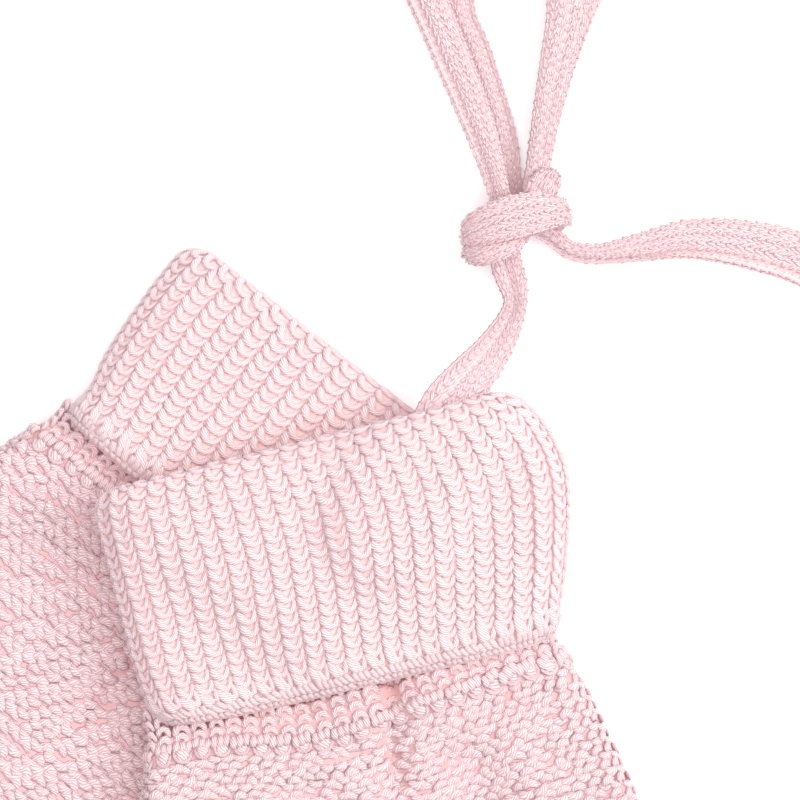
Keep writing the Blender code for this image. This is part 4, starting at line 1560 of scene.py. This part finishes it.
@dataclass
class Bow:
    """The cord: its stem out of the front cuff, the knot, two loops, and the tail round to the rear cuff."""

    def make(self, knitter: Knitter, ground: bpy.types.Material, yarn: bpy.types.Material) -> None:
        """Makes every stretch of the cord, and the knot.

        Args:
            knitter: Draws the stitches.
            ground: The cloth's material.
            yarn: The yarn's material.
        """
        turns = (
            KnotTurn("knot_band", (), middle=(18.6, 27.8, 4.6)),
            KnotTurn("knot_lower", (), middle=(15.3, 25.2, 3.6), reach=4.7, rise=2.7, bow=-0.6, tilt=24.0,
                     start=-62.0, end=242.0, width=5.4, thick=2.8),
            KnotTurn("knot_upper", (), middle=(22.9, 33.6, 3.8), reach=2.6, rise=2.8, bow=0.3, tilt=56.0,
                     start=-62.0, end=242.0, width=5.4, thick=2.8),
        )
        made = [turn.make(knitter, ground, yarn) for turn in turns]
        knot = self.join("cord_knot_turns", [cloth for cloth, _ in made])
        knot_stitches = self.join("cord_knot_stitches", [stitches for _, stitches in made])
        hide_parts("cord_knot")
        stem = Cord(
            "cord_stem", STEM_ROUTE, STEM_WIDTHS, start_tuck=((17.4, 27.0, 3.4),), spread=STEM_SPREAD,
            crease=0.7, crease_across=-0.1,
        )
        tail = Cord(
            "cord_tail", TAIL_ROUTE, TAIL_WIDTHS, start_tuck=((21.0, 28.2, 3.0),), spread=TAIL_SPREAD,
            crease=1.3, crease_across=-0.62, crease_half=0.45,
        )
        loop_a = Cord(
            "cord_loop_a", LOOP_A_ROUTE, WIDE_STRAND, NARROW_STRAND, start_tuck=((16.6, 29.6, 4.2),),
            end_tuck=((18.2, 29.8, 2.4),), crease=1.0, crease_across=0.46, crease_half=0.9,
        )
        loop_b = Cord(
            "cord_loop_b", LOOP_B_ROUTE, UPPER_STRAND, UPPER_STRAND, start_tuck=((20.6, 30.8, 2.2),),
            end_tuck=((21.2, 31.6, 4.4),), crease=0.4, crease_across=0.2,
        )
        for cord in (stem, tail, loop_a, loop_b):
            cloth, stitches = cord.make(knitter, ground, yarn)
            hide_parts(cord.name)
            path = cord.path()[::-1] if cord is stem else cord.path()
            cord.length()

    @staticmethod
    def join(name: str, pieces: list[bpy.types.Object]) -> bpy.types.Object:
        """Joins pieces of one material as one mesh.

        Args:
            name: The new piece's name.
            pieces: The pieces, which are taken out of the scene.

        Returns:
            The new piece.
        """
        build = bmesh.new()
        for piece in pieces:
            build.from_mesh(piece.data)
        mesh = bpy.data.meshes.new(name)
        build.to_mesh(mesh)
        build.free()
        mesh.materials.append(pieces[0].data.materials[0])
        mesh.shade_smooth()
        for piece in pieces:
            bpy.data.objects.remove(piece)
        return show(name, mesh)


@dataclass(frozen=True)
class Studio:
    """A white card, soft light from above and the right, and the camera straight above.

    The card glows faintly, because the photograph's pair is cut out on white with no shadow.
    """

    frame_width: float = 0.128   # metres that the view is wide at the table
    camera_height: float = 2.4
    sensor: float = 36.0
    card_reach: float = 3.0
    card_glow: float = 0.22
    sky: float = 0.52
    lamps: tuple = (             # name, place in metres, side in metres, watts, colour
        ("overhead_softbox", (0.05, 0.15, 1.3), 1.6, 14.5, "#FFFFFF"),
        ("side_softbox", (0.85, 0.20, 0.78), 0.5, 6.4, "#FFFCF9"),
    )

    def make(self) -> None:
        """Makes the camera, the card, the lamps and the pale sky."""
        self.camera()
        self.floor()
        for lamp in self.lamps:
            self.light(*lamp)
        world = bpy.data.worlds.new("studio")
        world.use_nodes = True
        background = world.node_tree.nodes["Background"]
        background.inputs[0].default_value = linear("#F1EBF0")
        background.inputs[1].default_value = self.sky
        bpy.context.scene.world = world
        bpy.context.scene.view_settings.view_transform = "Standard"

    def camera(self) -> None:
        """The camera, level with the photograph's middle and looking straight down."""
        data = bpy.data.cameras.new("camera")
        data.sensor_width = self.sensor
        data.lens = self.sensor * self.camera_height / self.frame_width
        data.clip_start, data.clip_end = 0.1, 20.0
        camera = bpy.data.objects.new("camera", data)
        camera.location = tuple(-MIDDLE[:2] * MM) + (self.camera_height,)
        bpy.context.scene.collection.objects.link(camera)
        bpy.context.scene.camera = camera

    def floor(self) -> None:
        """The white card."""
        mesh = bpy.data.meshes.new("floor")
        reach = self.card_reach
        corners = [(x * reach, y * reach, 0.0) for x, y in ((-1, -1), (1, -1), (1, 1), (-1, 1))]
        mesh.from_pydata(corners, [], [(0, 1, 2, 3)])
        material = bpy.data.materials.new("white_card")
        material.use_nodes = True
        shader = material.node_tree.nodes["Principled BSDF"]
        shader.inputs["Base Color"].default_value = linear("#FBFBFB")
        shader.inputs["Roughness"].default_value = 0.9
        shader.inputs["Emission Color"].default_value = linear("#FFFFFF")
        shader.inputs["Emission Strength"].default_value = self.card_glow
        mesh.materials.append(material)
        floor = bpy.data.objects.new("floor", mesh)
        bpy.context.scene.collection.objects.link(floor)

    @staticmethod
    def light(name: str, place: tuple, size: float, power: float, colour: str) -> None:
        """A square soft light that faces the pair.

        Args:
            name: The light's name.
            place: Where it stands.
            size: Length of its side in metres.
            power: Watts.
            colour: sRGB hex.
        """
        data = bpy.data.lights.new(name, "AREA")
        data.size, data.energy, data.color = size, power, linear(colour)[:3]
        lamp = bpy.data.objects.new(name, data)
        lamp.location = place
        way = -np.array(place)
        tilt = math.acos(-way[2] / np.linalg.norm(way))
        lamp.rotation_euler = (tilt, 0.0, math.atan2(way[1], way[0]) - math.pi / 2)
        bpy.context.scene.collection.objects.link(lamp)


def main() -> None:
    """Loads the frame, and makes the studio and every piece."""
    logging.basicConfig(level=logging.INFO, format="%(message)s")
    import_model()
    Studio().make()
    knitter = Knitter()
    finishes = (RIB_CLOTH, HAND_CLOTH, RIB_YARN, HAND_YARN, CORD_YARN)
    rib_cloth, hand_cloth, rib_yarn, hand_yarn, cord_yarn = (finish.build() for finish in finishes)
    Bow().make(knitter, rib_cloth, cord_yarn)
    Hand(REAR, row_height=2.6, chain=CHAIN_STRAIGHT).make(knitter, hand_cloth, hand_yarn)
    Cuff(REAR, row_height=1.75, ribs_on_top=21).make(knitter, rib_cloth, rib_yarn)
    Hand(FRONT).make(knitter, hand_cloth, hand_yarn)
    Cuff(FRONT).make(knitter, rib_cloth, rib_yarn)
    knitter.put_away()


if __name__ == "__main__":
    main()
